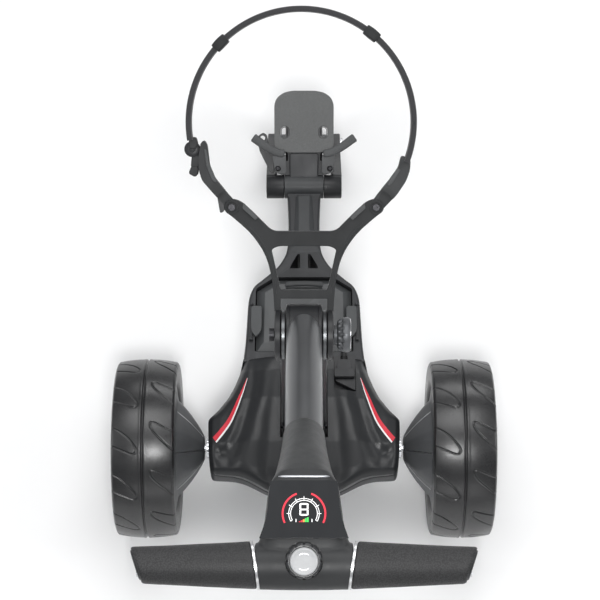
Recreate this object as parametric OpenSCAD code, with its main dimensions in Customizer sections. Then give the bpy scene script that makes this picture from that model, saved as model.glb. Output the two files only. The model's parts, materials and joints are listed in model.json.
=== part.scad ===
// Three-wheeled electric golf trolley: a drive housing with a battery tray, a front fork that folds
// under, an upright that folds forward, a bag frame with a strap and a handle with a speed dial.
// +Y is forwards, +X is the user's right-hand side, +Z is up. The origin is on the ground, in the
// middle of the trolley's length and width.

/* [Rear wheels] */
// Outside radius of a rear tyre
rear_r = 140; // [120:1:160]
// Width of a rear tyre
tyre_w = 95; // [70:1:110]
// Distance over the outer faces of the rear tyres
overall_w = 584; // [520:2:640]
// Radius of the drive axle
axle_r = 5; // [4:0.5:8]
// Tread grooves around each half of a rear tyre
tread_count = 12; // [6:1:18]

/* [Front wheel] */
// Outside radius of the front tyre
front_r = 90; // [75:1:110]
// Width of the front tyre
front_w = 62; // [45:1:70]
// Distance from the drive axle to the front axle
wheelbase = 572; // [520:1:620]

/* [Frame] */
// Height of the folding joint's axis above the ground
joint_z = 655; // [600:5:700]
// Height of the upright's lower pin above the ground
pin_z = 222; // [210:1:230]
// Slope of the bag frame and the base pad above the horizontal
bag_slope = 30; // [20:1:40]
// Slope of the handle tube above the horizontal
tube_slope = 36.7; // [25:0.1:50]
// Radius of the handle tube
tube_r = 23.2; // [18:0.2:25]

/* [Bag strap] */
// Radius of the strap's outer side
strap_r = 150; // [130:1:170]
// Width of the strap
strap_w = 26; // [20:1:38]

/* [Handle] */
// Overall width of the handle bar
bar_w = 380; // [340:2:420]
// Largest radius of a grip
grip_r = 26; // [20:0.5:28]

/* [Drive] */
// Teeth on the gear of the drive axle
gear_teeth = 48; // [36:1:60]
// Teeth on the motor's pinion
pinion_teeth = 12; // [10:1:16]
// Gear module
gear_module = 1.5; // [1:0.25:2]

/* [Hidden] */
$fn = 64;
// Gap between a shaft and the hole that it turns in
fit_gap = 0.05;
// The drive axle's place along the trolley, which puts the origin in the middle of the length
axle_y = -102;
wheel_x = overall_w / 2 - tyre_w;
front_y = wheelbase;
front_z = front_r;
joint_y = -24;
pin_y = 8;
barrel_y = 422;
barrel_z = 220;
pad_y = 505;
pad_z = 280;
bar_y = -431;
bar_z = 958;
dial_y = -420.6;
dial_z = 962.6;
dial_tilt = 24;
deck_tilt = 7;
tube_up = 22;
tube_end = 385;
barrel_r = 41;
hub_r = 21;
root_plug = 2.2;
upright_d = 32;
upright_top = 52;
motor_turn = 30;
gear_pitch_r = gear_module * gear_teeth / 2;
pinion_pitch_r = gear_module * pinion_teeth / 2;
centre_gap = gear_pitch_r + pinion_pitch_r;
motor_y = centre_gap * cos(motor_turn);
motor_z = rear_r + centre_gap * sin(motor_turn);
strap_x = -3;
strap_q = 283;
strap_t = 7.5;
link_pin_x = 95;
link_pin_q = 169.5;
upright_lean = atan2(pin_y - joint_y, joint_z - pin_z);
upright_len = sqrt(pow(pin_y - joint_y, 2) + pow(joint_z - pin_z, 2));

// Half of the chassis outline seen from above, from the front to the rear: x, then y from the axle
plan_half = [
    [27, 404], [25, 335], [39, 308], [52, 287], [68, 264], [77, 246], [82, 220], [86, 151],
    [90, 126], [98, 101], [110, 76], [128, 51], [146, 26], [149, 10], [149, -48], [141, -72],
    [106, -80], [65, -99], [20, -111]
];
// Half of the room inside the drive housing
room_half = [
    [90, 84], [104, 66], [124, 46], [139, 20], [142, 4], [142, -44], [134, -65], [104, -73],
    [62, -91], [20, -103]
];
well_half = [[55, 257], [70, 243], [78.5, 225], [78.5, 118]];
battery_half = [[54, 255], [68, 242], [76, 224], [76, 126], [70, 120]];
red_stripe = [[92, 87], [97, 76], [114, 50], [129, 22], [139, -15], [133, -15], [123, 18], [108, 48]];
white_stripe = [[91, 86.5], [107, 47.5], [122, 17.5], [132, -15], [129.5, -15], [120, 16], [105, 46]];

// Shared shapes

// Places things measured from the ground point under the drive axle
module from_axle() {
    translate([0, axle_y, 0]) children();
}

// A round bar along X about the point y, z
module bar_x(y, z, x0, x1, r) {
    translate([x0, y, z]) rotate([0, 90, 0]) cylinder(r = r, h = x1 - x0);
}

// An outline drawn in y and z, as thick as x1 - x0
module side_slab(x0, x1) {
    translate([x0, 0, 0]) rotate([90, 0, 90]) linear_extrude(x1 - x0) children();
}

// An outline drawn in x and z, running from y0 to y1
module front_slab(y0, y1) {
    translate([0, y1, 0]) rotate([90, 0, 0]) linear_extrude(y1 - y0) children();
}

// An outline drawn in x and y, from z0 to z1
module plan_slab(z0, z1) {
    translate([0, 0, z0]) linear_extrude(z1 - z0) children();
}

// Both sides of something that is drawn on the right
module both() {
    children();
    mirror([1, 0, 0]) children();
}

// Closes a half outline with its mirror image
module outline(half) {
    n = len(half);
    polygon(concat(half, [for (i = [n - 1:-1:0]) [-half[i][0], half[i][1]]]));
}

module block(x0, x1, y0, y1, z0, z1) {
    translate([x0, y0, z0]) cube([x1 - x0, y1 - y0, z1 - z0]);
}

// The bag frame's own plane: x across, y up the slope, z out of it, from the folding joint
module at_frame() {
    from_axle() translate([0, joint_y, joint_z]) rotate([bag_slope, 0, 0]) children();
}

// The base pad's plane, from the middle of the pad's upper face
module at_pad() {
    from_axle() translate([0, pad_y, pad_z]) rotate([bag_slope, 0, 0]) children();
}

// z runs up the handle tube from the folding joint, and y points to its upper side
module at_tube() {
    from_axle() translate([0, joint_y, joint_z]) rotate([90 - tube_slope, 0, 0]) children();
}

// z runs out of the dial's face
module at_dial() {
    from_axle() translate([0, dial_y, dial_z]) rotate([dial_tilt, 0, 0]) children();
}

// z runs up the upright from its lower pin
module at_upright() {
    from_axle() translate([0, pin_y, pin_z]) rotate([upright_lean, 0, 0]) children();
}

// The screen's plane, from the middle of its face
module at_deck() {
    from_axle() translate([0, -373, 991.5]) rotate([deck_tilt, 0, 0]) children();
}

// Chassis

module lower_side() {
    polygon([
        [-111, 148], [-92, 112], [-46, 90], [46, 90], [88, 122], [114, 158], [205, 160], [330, 178],
        [404, 204], [404, 234], [330, 236], [262, 232], [116, 232], [116, 226], [-111, 226]
    ]);
}

module chassis_frame() {
    color([0.16, 0.165, 0.17]) from_axle() difference() {
        union() {
            difference() {
                intersection() {
                    plan_slab(80, 240) outline(plan_half);
                    side_slab(-160, 160) lower_side();
                }
                intersection() {
                    plan_slab(80, 240) outline(room_half);
                    translate([0, 0, 4]) side_slab(-160, 160) lower_side();
                }
                plan_slab(172, 240) outline(well_half);
                block(-17, 17, 300, 378, 150, 226);
                both() plan_slab(150, 240) polygon([[7, 270], [17, 292], [7, 294]]);
            }
            block(-47, 47, -102, 100, 191, 226);
            bar_x(barrel_y, barrel_z, -31.5, 31.5, 19);
            block(-25, 25, 380, 414, 206, 234);
            both() block(80, 86, 149, 156, 228, 240);
            both() block(80, 86, 215, 222, 228, 240);
        }
        block(-36, 36, -24, 130, 197, 240);
        bar_x(pin_y, pin_z, -44, 44, axle_r);
        bar_x(barrel_y, barrel_z, -32, 32, 6);
        bar_x(0, rear_r, -150, 150, 13);
        both() translate([83, 140, 236]) rotate([-90, 0, 0]) cylinder(r = 2, h = 90);
        block(46, 80, 60, 118, 238, 250);
    }
}

module cover_side(up) {
    polygon([
        [-111, 226.3], [-111, 232 + up], [-84, 247 + up], [-30, 258 + up], [40, 260 + up],
        [88, 253 + up], [115, 243 + up], [115, 226.3]
    ]);
}

module cover_front(up) {
    polygon([
        [-149, 226.3], [-149, 232 + up], [-120, 246 + up], [-72, 255 + up], [-50, 261 + up],
        [50, 261 + up], [72, 255 + up], [120, 246 + up], [149, 232 + up], [149, 226.3]
    ]);
}

module cover_body(up) {
    intersection() {
        plan_slab(226.3, 270) outline(plan_half);
        side_slab(-160, 160) cover_side(up);
        front_slab(-120, 115) cover_front(up);
    }
}

module stripe(points, up) {
    intersection() {
        cover_body(up);
        both() plan_slab(236, 270) polygon(points);
    }
}

module housing_cover() {
    color([0.13, 0.135, 0.14]) from_axle() difference() {
        cover_body(0);
        intersection() {
            translate([0, 0, -3]) cover_body(0);
            plan_slab(220, 270) outline(room_half);
        }
        block(-36.2, 36.2, -24, 120, 220, 270);
        block(46, 80, 60, 118, 238, 270);
        both() plan_slab(236, 270) polygon(red_stripe);
        both() plan_slab(236, 270) polygon(white_stripe);
    }
}

module stripe_red() {
    color([0.75, 0.12, 0.16]) from_axle() stripe(red_stripe, 0.6);
}

module stripe_white() {
    color([0.9, 0.9, 0.9]) from_axle() difference() {
        stripe(white_stripe, 0.4);
        both() plan_slab(230, 275) polygon(red_stripe);
    }
}

module battery_case() {
    color([0.23, 0.235, 0.24]) from_axle() difference() {
        intersection() {
            plan_slab(172, 226) outline(battery_half);
            front_slab(110, 270) polygon([
                [-76, 172], [-76, 217], [-60, 226], [60, 226], [76, 217], [76, 172]
            ]);
            side_slab(-80, 80) polygon([
                [120, 172], [120, 218], [129, 226], [240, 226], [255, 216], [255, 172]
            ]);
        }
        block(-70, 70, 126, 218, 176, 221);
    }
}

module battery_cells() {
    color([0.2, 0.35, 0.6]) from_axle() for (row = [0:3], col = [0:5], layer = [0:1])
        translate([-68 + 22.7 * col, 138 + 22.7 * row, 187 + 22.3 * layer])
            rotate([0, 90, 0]) cylinder(r = 10.5, h = 21);
}

module latch_pins() {
    color([0.7, 0.7, 0.7]) from_axle() both() translate([83, 149, 236]) rotate([-90, 0, 0])
        cylinder(r = 2, h = 73);
}

module latch() {
    from_axle() difference() {
        union() {
            translate([83, 156.5, 236]) rotate([-90, 0, 0]) cylinder(r = 3.6, h = 58);
            plan_slab(232.5, 237.6) polygon([[66, 168], [71, 160], [83, 156.5], [83, 214.5], [68, 214.5]]);
            block(66, 69, 170, 208, 226.5, 235);
        }
        translate([83, 150, 236]) rotate([-90, 0, 0]) cylinder(r = 2 + fit_gap, h = 70);
    }
}

module latch_right() {
    color([0.2, 0.21, 0.21]) latch();
}

module latch_left() {
    color([0.2, 0.21, 0.21]) mirror([1, 0, 0]) latch();
}

// Drive

// A spur gear about X, turned by a part of a tooth so that a pair starts in mesh
module spur_gear(teeth, x0, x1, bore, turn) {
    pitch_r = gear_module * teeth / 2;
    root_r = pitch_r - 1.25 * gear_module;
    tip_r = pitch_r + gear_module;
    half_pitch = 90 / teeth;
    translate([x0, 0, 0]) rotate([90, 0, 90]) difference() {
        linear_extrude(x1 - x0) polygon([
            for (i = [0:teeth - 1], k = [0:3])
                let (
                    wide = [1.02, 0.44, -0.44, -1.02][k] * half_pitch,
                    r = (k == 0 || k == 3) ? root_r : tip_r,
                    a = 360 / teeth * i - wide + turn
                )
                [r * cos(a), r * sin(a)]
        ]);
        translate([0, 0, -1]) cylinder(r = bore, h = x1 - x0 + 2);
    }
}

module axle_gear() {
    color([0.75, 0.72, 0.6]) from_axle() translate([0, 0, rear_r]) difference() {
        spur_gear(gear_teeth, 16, 27, axle_r, motor_turn);
        for (a = [0:60:300]) rotate([a, 0, 0]) bar_x(21, 0, 10, 30, 6.5);
    }
}

module motor_rotor() {
    color([0.55, 0.56, 0.58]) from_axle() translate([0, motor_y, motor_z]) {
        spur_gear(pinion_teeth, 14.5, 28.5, 3, motor_turn + 180 + 180 / pinion_teeth);
        bar_x(0, 0, 10, 110, 3);
        bar_x(0, 0, 58, 98, 12);
    }
}

module drive_axle() {
    color([0.72, 0.73, 0.75]) from_axle() difference() {
        bar_x(0, rear_r, -258, 258, axle_r);
        both() bar_x(0, rear_r, 246, 248, axle_r + 1);
    }
    color([0.72, 0.73, 0.75]) from_axle() both() bar_x(0, rear_r, 245, 249, axle_r - 1);
}

module axle_bearings() {
    color([0.6, 0.6, 0.62]) from_axle() both() difference() {
        union() {
            bar_x(0, rear_r, 142.5, 151, 13);
            bar_x(0, rear_r, 149.2, 152.5, 16);
        }
        bar_x(0, rear_r, 140, 154, axle_r + fit_gap);
    }
}

module gear_room(grow) {
    reach = centre_gap + 2;
    translate([0, rear_r]) circle(r = gear_pitch_r + 3 + grow);
    translate([motor_y, motor_z]) circle(r = pinion_pitch_r + 3 + grow);
    translate([0, rear_r]) rotate(motor_turn)
        translate([0, -12 - grow]) square([reach, 24 + 2 * grow]);
}

module gearbox_case() {
    color([0.45, 0.46, 0.47]) from_axle() difference() {
        side_slab(8, 38) gear_room(3);
        side_slab(12, 34) gear_room(0);
        bar_x(0, rear_r, 0, 40, axle_r + 1);
        bar_x(motor_y, motor_z, 0, 40, 3.6);
    }
}

module motor_can() {
    color([0.3, 0.31, 0.32]) from_axle() translate([0, motor_y, motor_z]) difference() {
        bar_x(0, 0, 38, 106, 20);
        bar_x(0, 0, 41, 103, 18.5);
        bar_x(0, 0, 30, 112, 3 + fit_gap);
    }
    color([0.3, 0.31, 0.32]) from_axle() translate([0, motor_y, motor_z]) difference() {
        bar_x(0, 0, 60, 96, 18.5);
        bar_x(0, 0, 58, 98, 12.6);
    }
}

module controller_board() {
    color([0.05, 0.3, 0.15]) from_axle() {
        block(-112, -52, -52, 44, 150, 151.6);
        for (x = [-108, -56], y = [-40, 38]) translate([x, y, 94]) cylinder(r = 3, h = 56);
        block(-104, -84, -44, 0, 151.6, 166);
        for (y = [10:14:38]) translate([-98, y, 151.6]) cylinder(r = 6, h = 18);
        for (y = [-40:16:24]) block(-74, -60, y, y + 10, 151.6, 156);
    }
}

// Rear wheels, drawn on the right and turned about X: z here runs outwards from the tyre's inner face

module on_wheel() {
    from_axle() translate([wheel_x, 0, rear_r]) rotate([0, 90, 0]) children();
}

module tyre() {
    mid = tyre_w / 2;
    on_wheel() difference() {
        rotate_extrude() polygon([
            [97, 6], [104, 1.5], [124, 0], [130.5, 1.5], [134, 6], [136.6, 16], [138.8, 30],
            [rear_r, mid - 3], [rear_r - 3, mid - 2], [rear_r - 3, mid + 2], [rear_r, mid + 3],
            [138.8, tyre_w - 30], [136.6, tyre_w - 16], [134, tyre_w - 6], [130.5, tyre_w - 1.5],
            [124, tyre_w], [104, tyre_w - 1.5], [97, tyre_w - 6]
        ]);
        for (i = [0:tread_count - 1]) {
            rotate([0, 0, 360 / tread_count * i]) translate([133.5, 0, 9]) rotate([28, 0, 0])
                cube([12, 4, 30]);
            rotate([0, 0, 360 / tread_count * (i + 0.5)]) translate([133.5, 0, tyre_w - 9])
                rotate([152, 0, 0]) cube([12, 4, 30]);
        }
    }
}

module rim() {
    on_wheel() difference() {
        union() {
            rotate_extrude() polygon([
                [5, -42], [18, -42], [60, -12], [74, 3], [92, 6], [97, 6], [97, tyre_w - 6],
                [91, tyre_w - 6], [91, 12], [72, 9], [56, -5], [22, -33], [22, 66], [5, 66]
            ]);
            rotate_extrude() polygon([[21, 60], [38, 57], [38, 63], [21, 67]]);
            for (a = [0:72:288]) rotate([0, 0, a]) translate([30, -11, 56]) cube([62.5, 22, 7]);
        }
        translate([0, 0, -50]) cylinder(r = axle_r + fit_gap, h = 110);
        translate([0, 0, 58]) cylinder(r = 13.6, h = 20);
    }
}

module button() {
    on_wheel() difference() {
        union() {
            translate([0, 0, 62]) cylinder(r = 13.2, h = 10);
            translate([0, 0, 72]) cylinder(r1 = 13.2, r2 = 11.2, h = 2);
        }
        translate([0, 0, 60]) cylinder(r = axle_r + 1, h = 8);
    }
}

module tyre_right() {
    color([0.09, 0.09, 0.09]) tyre();
}

module tyre_left() {
    color([0.09, 0.09, 0.09]) mirror([1, 0, 0]) tyre();
}

module rim_right() {
    color([0.28, 0.285, 0.29]) rim();
}

module rim_left() {
    color([0.28, 0.285, 0.29]) mirror([1, 0, 0]) rim();
}

module button_right() {
    color([0.7, 0.1, 0.12]) button();
}

module button_left() {
    color([0.7, 0.1, 0.12]) mirror([1, 0, 0]) button();
}

// Front fork and wheel

module fork_hinge_pin() {
    color([0.6, 0.61, 0.63]) from_axle() bar_x(barrel_y, barrel_z, -60, 60, 6);
}

module front_fork() {
    color([0.15, 0.155, 0.16]) from_axle() both() difference() {
        union() {
            bar_x(barrel_y, barrel_z, 32, 61, 19);
            side_slab(45, 61) polygon([
                [409, 206], [432, 238], [500, 172], [590, 98], [586, 74], [560, 78], [484, 148]
            ]);
            bar_x(front_y, front_z, 42, 61, 17);
        }
        bar_x(barrel_y, barrel_z, 30, 60, 6 + fit_gap);
        bar_x(front_y, front_z, 40, 62, 5);
    }
}

module front_axle() {
    color([0.6, 0.61, 0.63]) from_axle() bar_x(front_y, front_z, -61, 61, 5);
    color([0.6, 0.61, 0.63]) from_axle() both() bar_x(front_y, front_z, 61, 66, 10);
}

module on_front() {
    from_axle() translate([-front_w / 2, front_y, front_z]) rotate([0, 90, 0]) children();
}

module front_tyre() {
    mid = front_w / 2;
    color([0.09, 0.09, 0.09]) on_front() rotate_extrude() polygon([
        [62, 5], [68, 1], [78, 0], [84, 3], [87.5, 10], [89.5, 20], [front_r, mid - 2],
        [front_r - 2, mid - 1], [front_r - 2, mid + 1], [front_r, mid + 2], [89.5, front_w - 20],
        [87.5, front_w - 10], [84, front_w - 3], [78, front_w], [68, front_w - 1], [62, front_w - 5]
    ]);
}

module front_rim() {
    mid = front_w / 2;
    color([0.28, 0.285, 0.29]) on_front() difference() {
        union() {
            rotate_extrude() polygon([
                [5, -8], [15, -8], [17, mid - 4], [56, mid - 4], [57, 5], [62, 5], [62, front_w - 5],
                [57, front_w - 5], [56, mid + 4], [17, mid + 4], [15, front_w + 8], [5, front_w + 8]
            ]);
        }
        for (a = [0:60:300]) rotate([0, 0, a]) translate([37, 0, 0]) cylinder(r = 11, h = front_w);
        translate([0, 0, -20]) cylinder(r = 5 + fit_gap, h = front_w + 40);
    }
}

// Bag base

module base_pad() {
    color([0.4, 0.405, 0.41]) difference() {
        union() {
            at_pad() plan_slab(-8, 0) outline([
                [20, 53.5], [34, 50], [44, 42], [48, 32], [48, -34], [44, -42], [26, -46]
            ]);
            at_pad() plan_slab(-16, -5) outline([
                [26, -40], [26, -66], [48.6, -66], [48.6, -78], [30, -84], [26, -99]
            ]);
            at_pad() both() block(20, 25, -90, 44, -15, -6);
        }
        from_axle() bar_x(barrel_y, barrel_z, -62, 62, 19.4);
        for (x = [-31, 31]) {
            at_pad() translate([x, -11, -10]) cylinder(r = 8, h = 12);
            at_pad() translate([x, -16, -10]) cylinder(r = 8, h = 12);
            at_pad() block(x - 8, x + 8, -16, -11, -10, 2);
        }
        at_pad() both() translate([42, -72, -17]) cylinder(r = 2.5, h = 14);
    }
}

module base_wings() {
    color([0.34, 0.345, 0.35]) at_pad() both() difference() {
        plan_slab(-4.8, 7) polygon([
            [29, -79], [44, -79], [48.6, -76], [49.5, -62], [56, -53], [70, -46], [84, -35],
            [86, -28], [79, -22.6], [66, -34], [52, -44.5], [40, -49], [29, -50]
        ]);
        translate([42, -72, -10]) cylinder(r = 2.5, h = 14);
        translate([42, -72, 4]) cylinder(r = 4.6, h = 8);
    }
}

module base_screws() {
    color([0.65, 0.66, 0.67]) at_pad() both() difference() {
        translate([42, -72, -15.8]) cylinder(r = 2.5, h = 20);
        translate([42, -72, 5.5]) cylinder(r = 2, h = 3, $fn = 6);
    }
    color([0.65, 0.66, 0.67]) at_pad() both() difference() {
        translate([42, -72, 4]) cylinder(r = 4.4, h = 2.8);
        translate([42, -72, 5.2]) cylinder(r = 2, h = 3, $fn = 6);
    }
}

module strap_bracket() {
    color([0.12, 0.12, 0.125]) at_pad() difference() {
        plan_slab(-9, -5) polygon([
            [-49, -80], [-54, -80], [-72, -44], [-75, -28], [-73, -18], [-66, -14], [-60, -18],
            [-58, -28], [-50, -46], [-49, -60]
        ]);
        translate([-67, -23, -10]) cylinder(r = 4, h = 8);
    }
}

// Battery lead, held between the battery and its socket in the housing

module battery_lead() {
    color([0.05, 0.05, 0.05]) from_axle() {
        translate([62, 130, 226]) cylinder(r = 4, h = 10);
        translate([62, 118, 236]) rotate([90, 0, 90]) rotate_extrude(angle = 90)
            translate([12, 0]) circle(r = 4);
        translate([62, 118, 248]) rotate([90, 0, 0]) cylinder(r = 4, h = 14);
    }
}

module battery_plug() {
    color([0.04, 0.04, 0.045]) from_axle() difference() {
        union() {
            block(50, 74, 92, 106, 238, 257);
            block(47, 77, 78, 92, 238, 260);
            block(48, 79, 61, 78, 238, 252);
        }
        translate([62, 120, 248]) rotate([90, 0, 0]) cylinder(r = 4, h = 16);
    }
}

// Upright and folding joint

module upright_pin() {
    color([0.6, 0.61, 0.63]) from_axle() bar_x(pin_y, pin_z, -44, 44, axle_r);
}

module oval(w, d) {
    square([w - d, d], center = true);
    translate([(w - d) / 2, 0]) circle(r = d / 2);
    translate([(d - w) / 2, 0]) circle(r = d / 2);
}

module upright_tube() {
    color([0.17, 0.175, 0.18]) difference() {
        union() {
            at_upright() plan_slab(0, upright_len - upright_top) difference() {
                oval(65, upright_d);
                oval(59, upright_d - 6);
            }
            from_axle() bar_x(pin_y, pin_z, -32.5, 32.5, 18);
        }
        from_axle() bar_x(pin_y, pin_z, -40, 40, axle_r + fit_gap);
    }
}

module joint_yoke() {
    color([0.33, 0.335, 0.34]) difference() {
        union() {
            at_upright() block(-16, 16, -12.9, 12.9, upright_len - 90, upright_len - 50);
            at_upright() plan_slab(upright_len - upright_top, upright_len - 45) oval(65, upright_d);
            at_upright() both() block(24.7, 30.3, -14, 14, upright_len - 48, upright_len - 20);
            from_axle() both() bar_x(joint_y, joint_z, 24.4, 30.6, 33);
        }
        from_axle() bar_x(joint_y, joint_z, -40, 40, axle_r);
    }
}

module joint_bolt() {
    color([0.62, 0.63, 0.65]) from_axle() {
        bar_x(joint_y, joint_z, -40, 55, axle_r);
        bar_x(joint_y, joint_z, -46, -39.6, 9);
    }
}

module clamp_knob() {
    color([0.22, 0.225, 0.23]) from_axle() translate([0, joint_y, joint_z]) difference() {
        union() {
            bar_x(0, 0, 39.8, 44, 14);
            bar_x(0, 0, 44, 52, 20);
            bar_x(0, 0, 52, 60, 23.5);
            bar_x(0, 0, 60, 62, 21);
        }
        for (a = [0:30:330]) rotate([a, 0, 0]) bar_x(22, 0, 43, 52.5, 3.6);
        bar_x(0, 0, 36, 56, axle_r + fit_gap);
    }
}

// Handle

module hinge_hub() {
    color([0.5, 0.51, 0.52]) from_axle() difference() {
        bar_x(joint_y, joint_z, -23.6, 23.6, hub_r);
        bar_x(joint_y, joint_z, -30, 30, axle_r + fit_gap);
    }
}

module tube_root() {
    color([0.1, 0.1, 0.105]) difference() {
        union() {
            from_axle() bar_x(joint_y, joint_z, -23.7, 23.7, barrel_r);
            at_tube() translate([0, tube_up, 20]) cylinder(r = tube_r - root_plug, h = 70);
        }
        from_axle() bar_x(joint_y, joint_z, -30, 30, hub_r + fit_gap);
    }
}

module handle_tube() {
    color([0.3, 0.305, 0.31]) difference() {
        intersection() {
            at_tube() translate([0, tube_up, 0]) cylinder(r = tube_r, h = tube_end);
            at_tube() translate([0, -30, 0]) rotate([-90, 0, 0]) linear_extrude(100) {
                translate([0, -2 * tube_r]) circle(r = tube_r);
                translate([-tube_r - 1, -tube_end]) square([2 * tube_r + 2, tube_end - 2 * tube_r]);
            }
        }
        at_tube() translate([0, tube_up, -10]) cylinder(r = tube_r - 2, h = tube_end + 20);
        from_axle() bar_x(joint_y, joint_z, -26, 26, barrel_r);
    }
}

module head_side() {
    polygon([
        [-216.5, 857], [-258, 905], [-300, 957], [-324, 985], [-336, 995], [-409, 987], [-424, 986],
        [-442, 983], [-454, 972], [-457, 958], [-453, 944], [-443, 934], [-428, 931], [-395, 920],
        [-345, 876], [-247, 814]
    ]);
}

module head_plan(grow) {
    outline([
        [24.8 + grow, -200], [25.5 + grow, -243], [28 + grow, -290], [32 + grow, -330],
        [37 + grow, -340], [39.3 + grow, -352], [40 + grow, -385], [43 + grow, -400],
        [50 + grow, -408], [58, -409 + grow], [50.5, -458], [20, -459]
    ]);
}

// The slanted gap that a silver ring fills, with grow to either side of the ring
module ring_gap(grow) {
    from_axle() both() translate([54, bar_y, bar_z]) rotate([0, 0, -9])
        bar_x(0, 0, -1.4 - grow, 1.4 + grow, 40);
}

module head_shell() {
    color([0.12, 0.122, 0.125]) difference() {
        from_axle() intersection() {
            side_slab(-60, 60) head_side();
            plan_slab(780, 1010) head_plan(0);
        }
        at_tube() translate([0, tube_up, 240]) cylinder(r = tube_r, h = tube_end - 240);
        at_deck() block(-35, 35, -29, 30, -2.6, 10);
        at_deck() block(-30, 30, -26, 26, -16, 0);
        from_axle() bar_x(bar_y, bar_z, -60, 60, 10);
        from_axle() side_slab(-24, 24) polygon([
            [-326, 925], [-348, 966], [-400, 964], [-402, 946], [-385, 934], [-352, 922], [-335, 905]
        ]);
        at_dial() translate([0, 0, 17]) cylinder(r = 21.5, h = 30);
        at_dial() cylinder(r = 7, h = 30);
        from_axle() both() block(54, 70, -470, -395, 900, 1000);
        ring_gap(0);
        from_axle() translate([0, -370, 898]) rotate([90 + atan2(50, 44), 0, 0])
            translate([0, 0, -14]) cylinder(r = 6, h = 40);
    }
}

module screen_glass() {
    color([0.03, 0.03, 0.035]) at_deck() block(-34.8, 34.8, -28.8, 29.8, -2.6, 0);
}

module display_board() {
    color([0.05, 0.28, 0.15]) at_deck() {
        block(-29, 29, -25, 25, -12, -10.4);
        block(-27, 27, -22, 22, -10.4, -2.7);
        block(-20, 20, -18, 18, -16, -12);
    }
}

module chrome_trim() {
    color([0.8, 0.8, 0.8]) from_axle() intersection() {
        translate([0, -330.5, 992.5]) rotate([45, 0, 0]) block(-29, 29, -1.2, 1.2, -1, 2.2);
        plan_slab(900, 1010) head_plan(0);
    }
}

module bar_core() {
    color([0.6, 0.6, 0.62]) from_axle() difference() {
        bar_x(bar_y, bar_z, -bar_w / 2 + 6, bar_w / 2 - 6, 10);
        bar_x(bar_y, bar_z, -bar_w / 2, bar_w / 2, 8);
        translate([0, dial_y, dial_z]) rotate([dial_tilt, 0, 0]) cylinder(r = 7, h = 40);
    }
}

module bar_rings() {
    color([0.78, 0.78, 0.78]) difference() {
        from_axle() intersection() {
            both() translate([54, bar_y, bar_z]) rotate([0, 0, -9]) bar_x(0, 0, -1.4, 1.4, 40);
            bar_x(bar_y, bar_z, -70, 70, grip_r + 0.6);
        }
        from_axle() bar_x(bar_y, bar_z, -70, 70, 10);
    }
}

module grips() {
    color([0.1, 0.1, 0.1]) from_axle() both() difference() {
        union() {
            translate([44, bar_y, bar_z]) rotate([0, 90, 0]) cylinder(r = grip_r, h = 16);
            translate([60, bar_y, bar_z]) rotate([0, 90, 0])
                cylinder(r1 = grip_r, r2 = 20, h = bar_w / 2 - 60);
        }
        bar_x(bar_y, bar_z, 30, bar_w / 2 - 6, 10);
        translate([54, bar_y, bar_z]) rotate([0, 0, -9]) bar_x(0, 0, -40, 1.4, 44);
        translate([bar_w / 2 - 5, bar_y, bar_z]) rotate([0, 0, -19]) block(0, 40, -60, 60, -40, 40);
    }
}

module dial_ring() {
    color([0.1, 0.1, 0.105]) at_dial() difference() {
        union() {
            translate([0, 0, 19]) cylinder(r = 20, h = 13);
            translate([0, 0, 10]) cylinder(r = 5, h = 10);
        }
        translate([0, 0, 23]) cylinder(r = 16, h = 20);
        for (a = [0:30:330]) rotate([0, 0, a]) translate([21.4, 0, 17]) cylinder(r = 2.6, h = 20);
    }
}

module dial_cap() {
    color([0.72, 0.73, 0.73]) at_dial() {
        translate([0, 0, 26]) cylinder(r = 15.6, h = 8);
        translate([0, 0, 34]) cylinder(r1 = 15.6, r2 = 14.6, h = 1);
    }
}

// Bag frame

module frame_outline() {
    difference() {
        outline([
            [42, 137.8], [54, 150], [70, 166], [84, 178], [96, 181], [105, 175], [105, 165],
            [93, 156], [69, 135], [50, 107], [41.5, 73], [38.7, 27], [38.7, 0]
        ]);
        translate([-30.9, -10]) square([61.8, 59]);
        polygon([[-31, 61], [31, 61], [40, 113], [31, 119], [-31, 119], [-40, 113]]);
    }
}

module bag_frame() {
    color([0.12, 0.122, 0.125]) difference() {
        union() {
            at_frame() plan_slab(-8, 8) frame_outline();
            from_axle() both() bar_x(joint_y, joint_z, 31, 38.7, 34.5);
        }
        from_axle() bar_x(joint_y, joint_z, -50, 50, axle_r + fit_gap);
        at_frame() both() translate([link_pin_x, link_pin_q, -5]) cylinder(r = 17, h = 10);
        at_frame() both() translate([link_pin_x, link_pin_q, -9]) cylinder(r = 3, h = 18);
    }
}

module bag_grips() {
    color([0.36, 0.365, 0.37]) at_frame() {
        both() plan_slab(8, 11) polygon([[46, 132], [58, 146], [74, 162], [70, 166], [54, 150], [42, 137.8]]);
        plan_slab(8, 10) polygon([[-42, 122], [42, 122], [44, 134], [-44, 134]]);
    }
}

module link_pins() {
    color([0.62, 0.63, 0.65]) at_frame() both() {
        translate([link_pin_x, link_pin_q, -8]) cylinder(r = 3, h = 16);
        translate([link_pin_x, link_pin_q, 8]) cylinder(r = 5, h = 2);
    }
}

module link_body(points, side) {
    at_frame() difference() {
        union() {
            translate([side * link_pin_x, link_pin_q, -4.7]) cylinder(r = 9, h = 9.4);
            plan_slab(-4.7, 4.7) polygon(points);
            difference() {
                plan_slab(-10, 10) polygon(points);
                translate([side * link_pin_x, link_pin_q, -12]) cylinder(r = 24, h = 24);
            }
        }
        translate([side * link_pin_x, link_pin_q, -9]) cylinder(r = 3 + fit_gap, h = 18);
    }
}

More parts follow.
